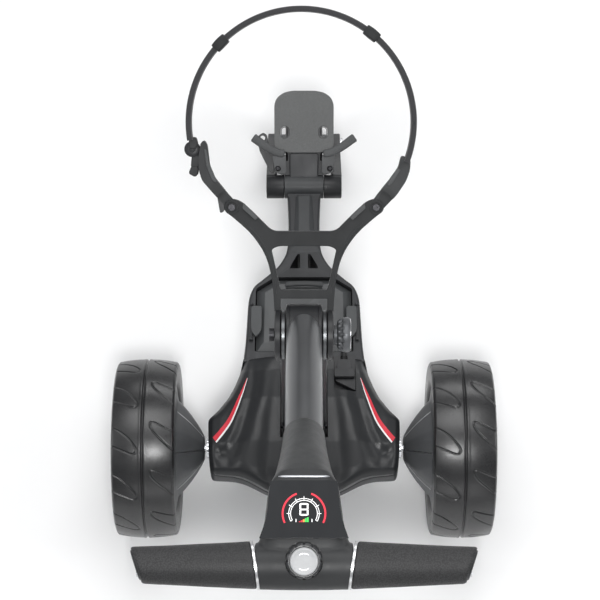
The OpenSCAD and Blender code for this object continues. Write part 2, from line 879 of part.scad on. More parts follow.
module link_left() {
    color([0.16, 0.165, 0.17]) link_body([
        [-131, 258], [-135.5, 254], [-138.5, 236], [-138.5, 220], [-134, 205], [-121, 190],
        [-103, 170], [-97, 162], [-89, 166], [-90, 176], [-104, 192], [-117, 208], [-124, 225],
        [-127, 252]
    ], -1);
}

module link_right() {
    color([0.16, 0.165, 0.17]) link_body([
        [140, 233], [128, 238], [124, 222], [112, 205], [97, 187], [89, 176], [88, 166], [96, 161],
        [103, 166], [122, 186], [134, 204], [139, 218]
    ], 1);
}

// A length of the strap between two angles about the strap's centre
module strap_arc(start, turn, grow) {
    translate([strap_x, strap_q, 0]) rotate([0, 0, start]) rotate_extrude(angle = turn)
        translate([strap_r - strap_t - grow, -strap_w / 2 - grow])
            square([strap_t + 2 * grow, strap_w + 2 * grow]);
}

module strap_ring() {
    color([0.08, 0.08, 0.085]) at_frame() strap_arc(0, 175, 0);
}

module strap_end_left() {
    color([0.08, 0.08, 0.085]) at_frame() strap_arc(175, 14, 0);
}

module strap_end_right() {
    color([0.08, 0.08, 0.085]) at_frame() strap_arc(-18.2, 18.2, 0);
}

module strap_collars() {
    color([0.14, 0.14, 0.145]) at_frame() difference() {
        for (a = [51.4, 135.6]) strap_arc(a - 4, 8, 3);
        strap_arc(40, 110, 0);
    }
}

module strap_hook() {
    color([0.13, 0.13, 0.135]) at_frame() difference() {
        union() {
            block(-151, -142, 248, 260, -10, 10);
            translate([-146.8, 246, -5]) cylinder(r = 6.5, h = 10);
            block(-149, -138.5, 222, 242, -4, 4);
        }
        translate([-146.8, 246, -6]) cylinder(r = 3, h = 12);
        strap_arc(175, 14, 0);
    }
}

chassis_frame();
housing_cover();
stripe_red();
stripe_white();
battery_case();
battery_cells();
latch_left();
latch_right();
latch_pins();
motor_can();
motor_rotor();
gearbox_case();
drive_axle();
axle_gear();
axle_bearings();
controller_board();
tyre_left();
tyre_right();
rim_left();
rim_right();
button_left();
button_right();
fork_hinge_pin();
front_fork();
front_axle();
front_rim();
front_tyre();
base_pad();
base_wings();
base_screws();
strap_bracket();
battery_lead();
battery_plug();
upright_pin();
upright_tube();
joint_yoke();
joint_bolt();
clamp_knob();
hinge_hub();
tube_root();
handle_tube();
head_shell();
screen_glass();
display_board();
chrome_trim();
bar_core();
bar_rings();
grips();
dial_ring();
dial_cap();
bag_frame();
bag_grips();
link_left();
link_right();
link_pins();
strap_ring();
strap_end_left();
strap_end_right();
strap_collars();
strap_hook();
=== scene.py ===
"""Electric golf trolley: the visual model, in metres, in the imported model's frame."""

import json
import math

import bmesh
import bpy
import numpy as np
from mathutils import Matrix, Vector

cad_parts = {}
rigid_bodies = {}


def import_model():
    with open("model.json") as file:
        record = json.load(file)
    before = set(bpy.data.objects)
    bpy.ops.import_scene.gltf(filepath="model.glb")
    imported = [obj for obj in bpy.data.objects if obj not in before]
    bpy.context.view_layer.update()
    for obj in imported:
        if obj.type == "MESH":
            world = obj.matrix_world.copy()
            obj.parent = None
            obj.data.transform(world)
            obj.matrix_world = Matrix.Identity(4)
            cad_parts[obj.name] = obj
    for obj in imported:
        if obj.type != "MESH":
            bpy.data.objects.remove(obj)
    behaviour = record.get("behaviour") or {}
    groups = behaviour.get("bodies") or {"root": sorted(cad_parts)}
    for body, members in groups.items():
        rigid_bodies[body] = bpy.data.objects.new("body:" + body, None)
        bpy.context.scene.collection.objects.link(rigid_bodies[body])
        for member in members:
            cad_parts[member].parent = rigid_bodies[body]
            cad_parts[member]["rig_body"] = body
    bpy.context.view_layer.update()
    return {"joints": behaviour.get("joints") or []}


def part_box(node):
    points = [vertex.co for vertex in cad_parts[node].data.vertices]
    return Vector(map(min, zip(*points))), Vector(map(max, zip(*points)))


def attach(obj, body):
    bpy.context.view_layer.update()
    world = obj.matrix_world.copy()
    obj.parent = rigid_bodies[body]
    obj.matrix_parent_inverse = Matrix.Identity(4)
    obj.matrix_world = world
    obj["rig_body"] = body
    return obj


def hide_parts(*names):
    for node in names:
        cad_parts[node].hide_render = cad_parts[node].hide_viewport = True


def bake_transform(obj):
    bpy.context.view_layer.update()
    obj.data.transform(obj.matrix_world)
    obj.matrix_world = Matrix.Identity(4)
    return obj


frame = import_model()
MM = 0.001
ORIGIN = Vector((0, 0, 0))

# ---------------------------------------------------------------- places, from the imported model
AXLE_Y = (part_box("drive_axle")[0][1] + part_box("drive_axle")[1][1]) / 2
JOINT = {j["name"]: j for j in frame["joints"]}


def joint_place(name):
    """A joint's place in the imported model."""
    return Vector(JOINT[name]["pos_m"])


M_AXIS = joint_place("handle_fold")
SLOPE = math.radians(30)
TUBE = math.radians(36.7)


def frame_matrix(origin, turn):
    """A place tilted about the X axis."""
    return Matrix.Translation(origin) @ Matrix.Rotation(turn, 4, "X")


AT_FRAME = frame_matrix(M_AXIS, SLOPE)
AT_PAD = frame_matrix(Vector((0, AXLE_Y + 0.505, 0.280)), SLOPE)
AT_TUBE = frame_matrix(M_AXIS, math.pi / 2 - TUBE)
AT_DIAL = frame_matrix(joint_place("dial_turn"), math.radians(24))
AT_DECK = frame_matrix(Vector((0, AXLE_Y - 0.373, 0.9915)), math.radians(7))
PIN = joint_place("upright_fold")
LEAN = math.atan2(PIN.y - M_AXIS.y, M_AXIS.z - PIN.z)
UP_LEN = (M_AXIS - PIN).length
AT_UPRIGHT = frame_matrix(PIN, LEAN)
FROM_AXLE = Matrix.Translation((0, AXLE_Y, 0))

# ---------------------------------------------------------------- camera
cam_data = bpy.data.cameras.new("camera")
cam_data.sensor_width = 36
cam_data.lens = 116.04
cam = bpy.data.objects.new("camera", cam_data)
cam.location = (0, AXLE_Y - 1.027, 3.021)
YAW = 0.118
cam.rotation_euler = (math.radians(90 - 66), math.radians(YAW * 0.914), math.radians(YAW * 0.407))
bpy.context.scene.collection.objects.link(cam)
bpy.context.scene.camera = cam


# ---------------------------------------------------------------- node helpers
class Nodes:
    """A small wrapper that makes shader nodes and links. In input names, _ stands for a space."""

    def __init__(self, name):
        self.mat = bpy.data.materials.new(name)
        self.mat.use_nodes = True
        self.tree = self.mat.node_tree
        self.tree.nodes.clear()
        self.bsdf = self.new("BsdfPrincipled")
        self.link(self.bsdf.outputs[0], self.new("OutputMaterial").inputs[0])
        self.coord = self.new("TexCoord").outputs["Object"]

    def new(self, kind, **inputs):
        n = self.tree.nodes.new("ShaderNode" + kind)
        self.fill(n, inputs)
        return n

    def fill(self, node, inputs):
        for name, value in inputs.items():
            self.put(node.inputs[name.replace("_", " ")], value)

    def finish(self, **inputs):
        """Fills the surface's inputs and gives back the material."""
        self.fill(self.bsdf, inputs)
        return self.mat

    def link(self, a, b):
        self.tree.links.new(a, b)

    def put(self, socket, value):
        if isinstance(value, bpy.types.NodeSocket):
            self.link(value, socket)
        else:
            socket.default_value = value

    def noise(self, scale, detail=2.0, rough=0.5, stretch=None):
        at = self.coord
        if stretch:
            at = self.new("Mapping", Scale=stretch, Vector=at).outputs[0]
        return self.new("TexNoise", Scale=scale, Detail=detail, Roughness=rough, Vector=at).outputs["Fac"]

    def voronoi(self, scale):
        return self.new("TexVoronoi", Scale=scale, Vector=self.coord).outputs["Distance"]

    def ramp(self, value, stops):
        lo, hi, a, b = stops
        return self.new("MapRange", From_Min=lo, From_Max=hi, To_Min=a, To_Max=b, Value=value).outputs[0]

    def math(self, op, a, b=0.0):
        n = self.new("Math")
        n.operation = op
        self.put(n.inputs[0], a)
        self.put(n.inputs[1], b)
        return n.outputs[0]

    def mix(self, fac, a, b):
        n = self.tree.nodes.new("ShaderNodeMix")
        n.data_type = "RGBA"
        self.put(n.inputs["Factor"], fac)
        self.put(n.inputs["A"], (*a, 1) if isinstance(a, tuple) else a)
        self.put(n.inputs["B"], (*b, 1) if isinstance(b, tuple) else b)
        return n.outputs["Result"]

    def bump(self, height, strength, distance):
        return self.new("Bump", Strength=strength, Distance=distance, Height=height).outputs[0]

    def worn(self):
        """Bright on raised edges, from the mesh's own curvature."""
        return self.ramp(self.new("NewGeometry").outputs["Pointiness"], (0.53, 0.62, 0.0, 1.0))


def tones(colour, shade, lift=0.0):
    """A darker and a lighter tone of a colour."""
    return tuple(c * (1 - shade) for c in colour), tuple(min(1, c * (1 + shade) + lift) for c in colour)


def plastic(name, colour, rough=0.5, grain=1400, depth=0.00004, shade=0.18, wear=0.25, coat=0.0,
            spec=0.5):
    """Moulded plastic: fine grain, cloudy tone and roughness, and lighter rubbed edges."""
    n = Nodes(name)
    cloud = n.noise(9, 4, 0.6)
    fine = n.noise(grain, 2, 0.6)
    scuff = n.noise(60, 5, 0.7, stretch=(1, 0.25, 1))
    dark, light = tones(colour, shade)
    base = n.mix(n.ramp(cloud, (0.35, 0.65, 0, 1)), dark, light)
    speck = n.mix(n.ramp(fine, (0.3, 0.7, 0, 0.35)), base, light)
    edge = tuple(min(1, c * 1.9 + 0.02) for c in colour)
    return n.finish(
        Base_Color=n.mix(n.math("MULTIPLY", n.worn(), wear), speck, edge),
        Roughness=n.math("ADD", n.ramp(scuff, (0.3, 0.75, rough - 0.05, rough + 0.07)),
                         n.ramp(fine, (0.3, 0.7, -0.03, 0.03))),
        Specular_IOR_Level=spec, Coat_Weight=coat, Coat_Roughness=0.08,
        Normal=n.bump(fine, 0.5, depth))


def rubber(name, colour, rough=0.62, dots=900, depth=0.00012, shade=0.2, spec=0.4):
    """Rubber with a fine raised texture, and painted shade in the low ground between the raised dots."""
    n = Nodes(name)
    cloud = n.noise(14, 4, 0.6)
    cell = n.voronoi(dots)
    base = n.mix(n.ramp(cloud, (0.3, 0.7, 0, 1)), *tones(colour, shade, 0.004))
    # painted shade: the low ground between the raised dots is painted darker, where the bump is low
    painted_pit_shade = tuple(c * 0.55 for c in colour)
    return n.finish(
        Base_Color=n.mix(n.ramp(cell, (0.3, 0.7, 0, 0.8)), base, painted_pit_shade),
        Roughness=n.math("ADD", n.ramp(cloud, (0.3, 0.7, rough - 0.06, rough + 0.06)),
                         n.ramp(cell, (0.2, 0.7, -0.04, 0.05))),
        Specular_IOR_Level=spec,
        Normal=n.bump(n.ramp(cell, (0.1, 0.6, 1, 0)), 0.6, depth))


def metal(name, colour, rough=0.3, brushed=(1, 1, 1), scale=500, depth=0.00001, flake=0.0,
          metallic=1.0, shade=0.08, coat=0.0):
    """Metal or metallic paint: fine drawn lines or flakes, and cloudy roughness."""
    n = Nodes(name)
    cloud = n.noise(12, 4, 0.6)
    lines = n.noise(scale, 3, 0.6, stretch=brushed)
    dark, light = tones(colour, shade)
    base = n.mix(n.ramp(cloud, (0.3, 0.7, 0, 1)), dark, light)
    if flake:
        bright = tuple(min(1, c * 1.8) for c in colour)
        base = n.mix(n.ramp(n.voronoi(2600), (0.05, 0.3, flake, 0)), base, bright)
    return n.finish(
        Base_Color=n.mix(n.ramp(lines, (0.3, 0.7, 0, 0.35)), base, dark),
        Metallic=metallic,
        Roughness=n.math("ADD", n.ramp(cloud, (0.3, 0.7, rough - 0.04, rough + 0.05)),
                         n.ramp(lines, (0.3, 0.7, -0.04, 0.04))),
        Coat_Weight=coat, Coat_Roughness=0.15,
        Normal=n.bump(lines, 0.35, depth))


def webbing(name, colour):
    """Woven strap: ribs across it and a fine twill, with painted shade in the weave's low places and painted
    highlight on its raised threads.
    """
    n = Nodes(name)
    sep = n.new("SeparateXYZ", Vector=n.new("UVMap").outputs[0])
    along, across = sep.outputs[0], sep.outputs[1]
    rib = n.math("SINE", n.math("MULTIPLY", along, 2 * math.pi / 0.0022))
    slanted = n.math("ADD", across, n.math("MULTIPLY", along, 0.5))
    thread = n.math("SINE", n.math("MULTIPLY", slanted, 2 * math.pi / 0.0012))
    weave = n.math("ADD", n.math("MULTIPLY", rib, 0.5), n.math("MULTIPLY", thread, 0.5))
    fuzz = n.noise(2500, 2, 0.6)
    # painted shade and painted highlight: the weave is painted dark where its bump is low and light where it
    # is raised
    dark = tuple(c * 0.55 for c in colour)
    light = tuple(c * 1.7 for c in colour)
    base = n.mix(n.ramp(weave, (-1, 1, 0, 1)), dark, light)
    return n.finish(
        Base_Color=n.mix(n.ramp(fuzz, (0.3, 0.7, 0, 0.4)), base, colour),
        Roughness=n.ramp(fuzz, (0.3, 0.7, 0.7, 0.9)),
        Sheen_Weight=0.25,
        Normal=n.bump(weave, 0.6, 0.0002))


def glow(name, colour, strength=0.55):
    """A lit mark on the screen: faint cells under a smooth surface."""
    mat = plastic(name, colour, 0.3, grain=3000, depth=0.000004, shade=0.06, wear=0.0)
    bsdf = mat.node_tree.nodes["Principled BSDF"]
    bsdf.inputs["Emission Color"].default_value = (*colour, 1)
    bsdf.inputs["Emission Strength"].default_value = strength
    return mat


def floor_paint(name):
    """Pale matt floor with a faint mottle."""
    n = Nodes(name)
    cloud = n.noise(3, 4, 0.6)
    fine = n.noise(180, 3, 0.6)
    return n.finish(
        Base_Color=n.mix(n.ramp(cloud, (0.3, 0.7, 0, 1)), (0.90, 0.90, 0.90), (0.93, 0.93, 0.93)),
        Roughness=n.ramp(fine, (0.3, 0.7, 0.72, 0.8)),
        Normal=n.bump(fine, 0.1, 0.0001))


MAT = {
    "shell": plastic("shell_plastic", (0.027, 0.028, 0.030), 0.46, grain=1500, spec=0.28),
    "cover": plastic("cover_plastic", (0.017, 0.018, 0.0195), 0.36, grain=2200, depth=0.00001,
                     wear=0.1, shade=0.1, spec=0.42),
    "tray": plastic("tray_plastic", (0.038, 0.040, 0.042), 0.45, spec=0.35),
    "battery": plastic("battery_plastic", (0.055, 0.058, 0.060), 0.42, grain=1200, spec=0.45),
    "latch": plastic("latch_plastic", (0.060, 0.063, 0.065), 0.48, spec=0.3),
    "head": plastic("head_plastic", (0.027, 0.028, 0.029), 0.48, grain=1700, spec=0.28),
    "black": plastic("black_plastic", (0.016, 0.0165, 0.018), 0.42, grain=1300, spec=0.35),
    "frame": plastic("frame_plastic", (0.026, 0.027, 0.028), 0.52, grain=1500, spec=0.13),
    "hub": plastic("hub_plastic", (0.085, 0.088, 0.092), 0.42, grain=1600, wear=0.5),
    "link": plastic("link_plastic", (0.028, 0.029, 0.030), 0.50, spec=0.15),
    "pad": rubber("pad_rubber", (0.135, 0.138, 0.138), 0.72, dots=1300, depth=0.00006, shade=0.1),
    "soft": rubber("soft_rubber", (0.085, 0.088, 0.09), 0.65, dots=1300, depth=0.00006),
    "grip": rubber("grip_rubber", (0.026, 0.026, 0.027), 0.55, dots=620, depth=0.00025),
    "tyre": rubber("tyre_rubber", (0.014, 0.014, 0.015), 0.30, dots=1500, depth=0.00003, spec=0.7),
    "jacket": rubber("lead_jacket", (0.012, 0.012, 0.013), 0.5, dots=1500, depth=0.00003),
    "tube": metal("tube_paint", (0.115, 0.118, 0.122), 0.33, scale=900, flake=0.5, metallic=0.75,
                  coat=0.1),
    "upright": metal("upright_paint", (0.060, 0.062, 0.066), 0.40, scale=900, flake=0.3,
                     metallic=0.6),
    "cheek": metal("cheek_alloy", (0.13, 0.135, 0.14), 0.38, scale=700, metallic=0.85),
    "knob": metal("knob_paint", (0.11, 0.114, 0.12), 0.42, scale=900, metallic=0.55),
    "steel": metal("steel", (0.62, 0.63, 0.65), 0.24, brushed=(1, 14, 14), scale=300),
    "silver": metal("silver", (0.66, 0.665, 0.67), 0.34, brushed=(14, 1, 1), scale=300),
    "chrome": metal("chrome", (0.82, 0.82, 0.83), 0.10, scale=400),
    "zinc": metal("zinc", (0.42, 0.43, 0.45), 0.38, scale=260, metallic=0.9),
    "brass": metal("gear_brass", (0.62, 0.50, 0.24), 0.3, scale=400),
    "red": plastic("red_inlay", (0.60, 0.035, 0.055), 0.35, shade=0.1, wear=0.1),
    "white": plastic("white_inlay", (0.80, 0.80, 0.80), 0.35, shade=0.04, wear=0.0),
    "board": plastic("board_lacquer", (0.015, 0.13, 0.06), 0.28, grain=500, coat=0.4),
    "cells": plastic("cell_wrap", (0.07, 0.17, 0.36), 0.32, shade=0.12),
    "glass": plastic("screen_glass", (0.026, 0.027, 0.029), 0.16, grain=2500, depth=0.000002,
                     shade=0.05, wear=0.0, spec=0.35),
    "dial": plastic("dial_plastic", (0.028, 0.029, 0.031), 0.30, grain=2000, depth=0.00001),
    "silver_cap": metal("dial_cap_metal", (0.40, 0.405, 0.41), 0.58, scale=700, metallic=0.25),
    "dark_steel": metal("dark_screw", (0.045, 0.045, 0.048), 0.45, scale=600),
    "frame_pad": rubber("frame_pad_rubber", (0.060, 0.063, 0.065), 0.55, dots=1500, depth=0.00004),
    "glow_red": glow("print_red", (0.62, 0.03, 0.05)),
    "glow_white": glow("print_white", (0.85, 0.85, 0.85)),
    "glow_orange": glow("print_orange", (0.75, 0.28, 0.05)),
    "glow_green": glow("print_green", (0.06, 0.60, 0.10)),
    "floor": floor_paint("floor_paint"),
    "strap": webbing("strap_webbing", (0.022, 0.022, 0.024)),
}


# ---------------------------------------------------------------- mesh helpers
def smooth_faces(bm, angle):
    """Smooth everywhere but over edges sharper than the given angle, in degrees."""
    limit = math.radians(angle)
    for f in bm.faces:
        f.smooth = True
    for e in bm.edges:
        e.smooth = len(e.link_faces) == 2 and e.calc_face_angle(0) < limit


def add_to_scene(name, data):
    ob = bpy.data.objects.new(name, data)
    bpy.context.scene.collection.objects.link(ob)
    return ob


def new_object(name, bm, mat, body, replaces=(), smooth=35.0):
    """Makes an object from a bmesh, on a body, in place of the named nodes."""
    bmesh.ops.recalc_face_normals(bm, faces=bm.faces)
    smooth_faces(bm, smooth)
    mesh = bpy.data.meshes.new(name)
    bm.to_mesh(mesh)
    bm.free()
    mesh.materials.append(MAT[mat])
    ob = add_to_scene(name, mesh)
    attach(ob, body)
    if replaces:
        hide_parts(*replaces)
    return ob


def bake(ob):
    """Applies an object's modifiers."""
    deps = bpy.context.evaluated_depsgraph_get()
    mesh = bpy.data.meshes.new_from_object(ob.evaluated_get(deps))
    old = ob.data
    ob.modifiers.clear()
    ob.data = mesh
    mesh.name = old.name
    return ob


def bevel(ob, width, segments=3, angle=35.0):
    """Rounds the edges sharper than an angle."""
    m = ob.modifiers.new("edges", "BEVEL")
    m.width = width
    m.segments = segments
    m.limit_method = "ANGLE"
    m.angle_limit = math.radians(angle)
    m.harden_normals = False
    m.miter_outer = "MITER_ARC"
    return ob


def join_rows(bm, rows, closed=True):
    """Four-sided faces between rows of vertices. closed joins each row's last to its first."""
    n = len(rows[0])
    for a, b in zip(rows, rows[1:]):
        for i in range(n if closed else n - 1):
            j = (i + 1) % n
            bm.faces.new((a[i], a[j], b[j], b[i]))


def add_loft(bm, rings, cap=True):
    """Skins a list of closed rings of points."""
    rows = [[bm.verts.new(p) for p in ring] for ring in rings]
    join_rows(bm, rows)
    if cap:
        bm.faces.new(rows[0][::-1])
        bm.faces.new(rows[-1])
    return rows


def loft(rings, cap=True):
    bm = bmesh.new()
    add_loft(bm, rings, cap)
    return bm


def section(points, z, matrix=Matrix()):
    """An outline of x, y points, in millimetres, as a ring at a height."""
    return [matrix @ Vector((x * MM, y * MM, z * MM)) for x, y in points]


def at_mm(x, y, z):
    """A place in millimetres from under the middle of the drive axle."""
    return Vector((x * MM, y * MM + AXLE_Y, z * MM))


def add_prism(bm, points, z0, z1, matrix=Matrix()):
    """Closes an outline of x, y points, in millimetres, between two heights."""
    low = [bm.verts.new(p) for p in section(points, z0, matrix)]
    high = [bm.verts.new(p) for p in section(points, z1, matrix)]
    bm.faces.new(low[::-1])
    bm.faces.new(high)
    join_rows(bm, [low, high])


def prism(points, z0, z1, matrix=Matrix()):
    bm = bmesh.new()
    add_prism(bm, points, z0, z1, matrix)
    return bm


def wheel_ring(x, radius, count):
    """A ring about the X axis. radius is a function of the angle, in millimetres."""
    angles = [2 * math.pi * i / count for i in range(count)]
    return [Vector((x * MM, radius(t) * math.cos(t) * MM, radius(t) * math.sin(t) * MM)) for t in angles]


def rectangle(x0, x1, y0, y1):
    return [(x0, y0), (x1, y0), (x1, y1), (x0, y1)]


def on_side(points, s):
    """An outline on the right as it is, or mirrored to the left, in the same turning order."""
    return [(s * x, y) for x, y in points][::s]


def mirrored(half):
    return list(half) + [(-x, y) for x, y in reversed(half)]


def smooth_line(points, steps=6):
    """A Catmull-Rom curve through points of any dimension."""
    pts = [np.array(p, float) for p in points]
    n = len(pts)
    out = []
    for i in range(n - 1):
        p1, p2 = pts[i], pts[i + 1]
        p0 = pts[i - 1] if i else 2 * p1 - p2
        p3 = pts[i + 2] if i + 2 < n else 2 * p2 - p1
        for k in range(steps):
            t = k / steps
            out.append(0.5 * (2 * p1 + (p2 - p0) * t + (2 * p0 - 5 * p1 + 4 * p2 - p3) * t * t
                              + (3 * p1 - p0 - 3 * p2 + p3) * t ** 3))
    out.append(pts[-1])
    return [tuple(p) for p in out]


def round_corners(points, radius, steps=5):
    """Rounds each corner of a closed outline. radius is one number or one for each point."""
    n = len(points)
    out = []
    for i in range(n):
        p = np.array(points[i], float)
        a = np.array(points[i - 1], float) - p
        b = np.array(points[(i + 1) % n], float) - p
        r = radius[i] if isinstance(radius, (list, tuple)) else radius
        la, lb = np.linalg.norm(a), np.linalg.norm(b)
        cut = min(r, la * 0.48, lb * 0.48)
        if cut < 1e-6:
            out.append(tuple(p))
            continue
        s, e = p + a / la * cut, p + b / lb * cut
        for k in range(steps + 1):
            t = k / steps
            out.append(tuple((1 - t) ** 2 * s + 2 * t * (1 - t) * p + t * t * e))
    return out


def add_lathe(bm, profile, centre, axis="X", segments=96):
    """Turns a profile of (along, radius) points, in millimetres, about an axis."""
    rings = []
    for along, radius in profile:
        ring = []
        for i in range(segments):
            t = 2 * math.pi * i / segments
            a, c, s = along * MM, math.cos(t) * radius * MM, math.sin(t) * radius * MM
            ring.append(Vector({"X": (a, c, s), "Y": (c, a, s), "Z": (c, s, a)}[axis]) + centre)
        rings.append(ring)
    return add_loft(bm, rings, cap=False)


def lathe(profile, centre, axis="X", segments=96, closed=False):
    """A turned solid. closed joins the profile's ends; if not, flat faces close it."""
    bm = bmesh.new()
    prof = list(profile) + ([profile[0]] if closed else [])
    rows = add_lathe(bm, prof, centre, axis, segments)
    if closed:
        bmesh.ops.remove_doubles(bm, verts=bm.verts, dist=1e-7)
    else:
        bm.faces.new(rows[0][::-1])
        bm.faces.new(rows[-1])
    return bm


def put(bm, matrix):
    """Moves a bmesh by a matrix."""
    bmesh.ops.transform(bm, matrix=matrix, verts=bm.verts)
    return bm


def boolean(ob, bm, op="DIFFERENCE"):
    """Cuts a closed bmesh out of an object, or fuses it on, and uses the bmesh up."""
    bmesh.ops.recalc_face_normals(bm, faces=bm.faces)
    mesh = bpy.data.meshes.new("cutter")
    bm.to_mesh(mesh)
    bm.free()
    tool = add_to_scene("cutter", mesh)
    m = ob.modifiers.new("cut", "BOOLEAN")
    m.object = tool
    m.operation = op
    m.solver = "EXACT"
    bake(ob)
    bpy.data.objects.remove(tool, do_unlink=True)
    return ob


def set_smooth(ob, angle=35.0):
    bm = bmesh.new()
    bm.from_mesh(ob.data)
    smooth_faces(bm, angle)
    bm.to_mesh(ob.data)
    bm.free()
    if "even_normals" not in ob.modifiers:
        even = ob.modifiers.new("even_normals", "WEIGHTED_NORMAL")
        even.keep_sharp = True
    return ob


def round_edges(ob, width, segments=3, angle=35.0, smooth=35.0):
    """Bevels the sharp edges and shades the result smooth."""
    bevel(ob, width, segments, angle)
    bake(ob)
    return set_smooth(ob, smooth)


def remesh(ob, voxel, smooth=6, factor=0.6):
    """Fuses overlapping solids into one skin and rounds its edges."""
    m = ob.modifiers.new("skin", "REMESH")
    m.mode = "VOXEL"
    m.voxel_size = voxel
    s = ob.modifiers.new("soften", "SMOOTH")
    s.factor = factor
    s.iterations = smooth
    bake(ob)
    for f in ob.data.polygons:
        f.use_smooth = True
    return ob


def superellipse(w, d, power=2.6, count=48):
    """Points of a rounded section, w wide and d deep, in millimetres."""
    out = []
    for i in range(count):
        t = 2 * math.pi * i / count
        c, s = math.cos(t), math.sin(t)
        out.append((w / 2 * math.copysign(abs(c) ** (2 / power), c),
                    d / 2 * math.copysign(abs(s) ** (2 / power), s)))
    return out


# ---------------------------------------------------------------- rear wheels
TYRE_R, TYRE_HALF = 140.0, 47.5
WHEEL_X, TYRE_INNER_X = 0.2445, 0.197
TREADS = 12
TREAD_LEFT = [(0, 0), (0.15, 3), (0.3, 7), (0.45, 12.5), (0.6, 19), (0.72, 26), (0.80, 32),
              (0.82, 36.5), (0.77, 40.5), (0.68, 41.5), (0.5, 38.5), (0.27, 34), (0, 29)]
TREAD_RIGHT = [(0, 14), (0.2, 10), (0.4, 5.5), (0.6, 1), (0.70, 0), (0.75, 2.5), (0.735, 8),
               (0.66, 14), (0.55, 20), (0.35, 29), (0.15, 38), (0, 45)]


def crown(x):
    """Radius of the tyre at a distance from its middle, in millimetres."""
    a = abs(x) / TYRE_HALF
    return TYRE_R - 5.2 * a ** 2.2 - 4.5 * np.clip((a - 0.93) / 0.07, 0, 1) ** 2


def groove_depth(xs, angles):
    """How deep the tread is cut over a grid of places across and angles round the tyre."""
    pitch = 2 * math.pi / TREADS * TYRE_R
    out = np.zeros((len(angles), len(xs)))
    s = (angles * TYRE_R)[:, None]
    for side, line, first in ((-1, TREAD_LEFT, 96.4), (1, TREAD_RIGHT, 93.2)):
        pts = np.array(smooth_line(line, 3))
        px = side * (TYRE_HALF - pts[:, 0] * TYRE_HALF)
        ps = pts[:, 1] + math.radians(first) * TYRE_R
        best = np.full(out.shape, 99.0)
        for k in (-1, 0, 1):
            base = np.mod(s - ps.mean(), pitch) + ps.mean() + k * pitch
            for i in range(len(pts) - 1):
                a = np.array([px[i], ps[i]])
                d = np.array([px[i + 1], ps[i + 1]]) - a
                gx, gs = xs[None, :] - a[0], base - a[1]
                t = np.clip((gx * d[0] + gs * d[1]) / (d @ d), 0, 1)
                best = np.minimum(best, np.hypot(gx - t * d[0], gs - t * d[1]))
        cut = np.clip(1.45 - best, 0, 0.9) / 0.9
        out = np.maximum(out, 1.5 * cut * cut * (3 - 2 * cut))
    mid = np.clip(2.3 - np.abs(xs), 0, 1.6) / 1.6
    out = np.maximum(out, (2.6 * mid)[None, :])
    lip = np.exp(-((np.abs(xs) - 4.0) / 1.2) ** 2) * -0.35
    return out + lip[None, :]


def tyre_mesh():
    around = 1128
    across = np.concatenate([np.linspace(-TYRE_HALF, -3.2, 44), [-2.3, -1.5, -0.7, 0, 0.7, 1.5, 2.3],
                             np.linspace(3.2, TYRE_HALF, 44)])
    angles = np.linspace(0, 2 * math.pi, around, endpoint=False)
    r = crown(across)[None, :] - groove_depth(across, angles)
    # the outer walls: from the tread's edge in over the shoulder to the rim's seat
    wall = [(47.6, 128.5), (47.2, 124), (46.6, 118), (46.9, 112), (46.0, 106), (43.5, 101), (40, 97.6)]
    left = [(-x, rr) for x, rr in wall][::-1]
    xs = np.concatenate([[p[0] for p in left], across, [p[0] for p in wall]])
    radii = np.concatenate([np.tile([p[1] for p in left], (around, 1)), r,
                            np.tile([p[1] for p in wall], (around, 1))], axis=1)
    c, s = np.cos(angles)[:, None], np.sin(angles)[:, None]
    verts = np.stack([np.broadcast_to(xs[None, :], radii.shape), radii * c, radii * s], -1)
    n = len(xs)
    i = np.arange(around)[:, None]
    j = np.arange(n)[None, :]
    nxt = (i + 1) % around
    jn = (j + 1) % n
    quads = np.stack([i * n + j, i * n + jn, nxt * n + jn, nxt * n + j], -1).reshape(-1, 4)
    mesh = bpy.data.meshes.new("tyre")
    mesh.from_pydata((verts.reshape(-1, 3) * MM).tolist(), [], quads.tolist())
    mesh.polygons.foreach_set("use_smooth", np.ones(len(mesh.polygons), bool))
    mesh.materials.append(MAT["tyre"])
    mesh.update()
    return mesh


def hex_radius(r, angle, share):
    """A radius that goes from round to six-sided, with softened ridges."""
    ridge = math.radians(34)
    a = (angle - ridge) % (math.pi / 3) - math.pi / 6
    flat = math.cos(math.pi / 6) / math.cos(a)
    soft = 1 - 0.035 * max(0.0, (abs(a) - 0.44) / 0.0836)
    return r * (1 - share + share * flat * (soft if abs(a) > 0.44 else 1))


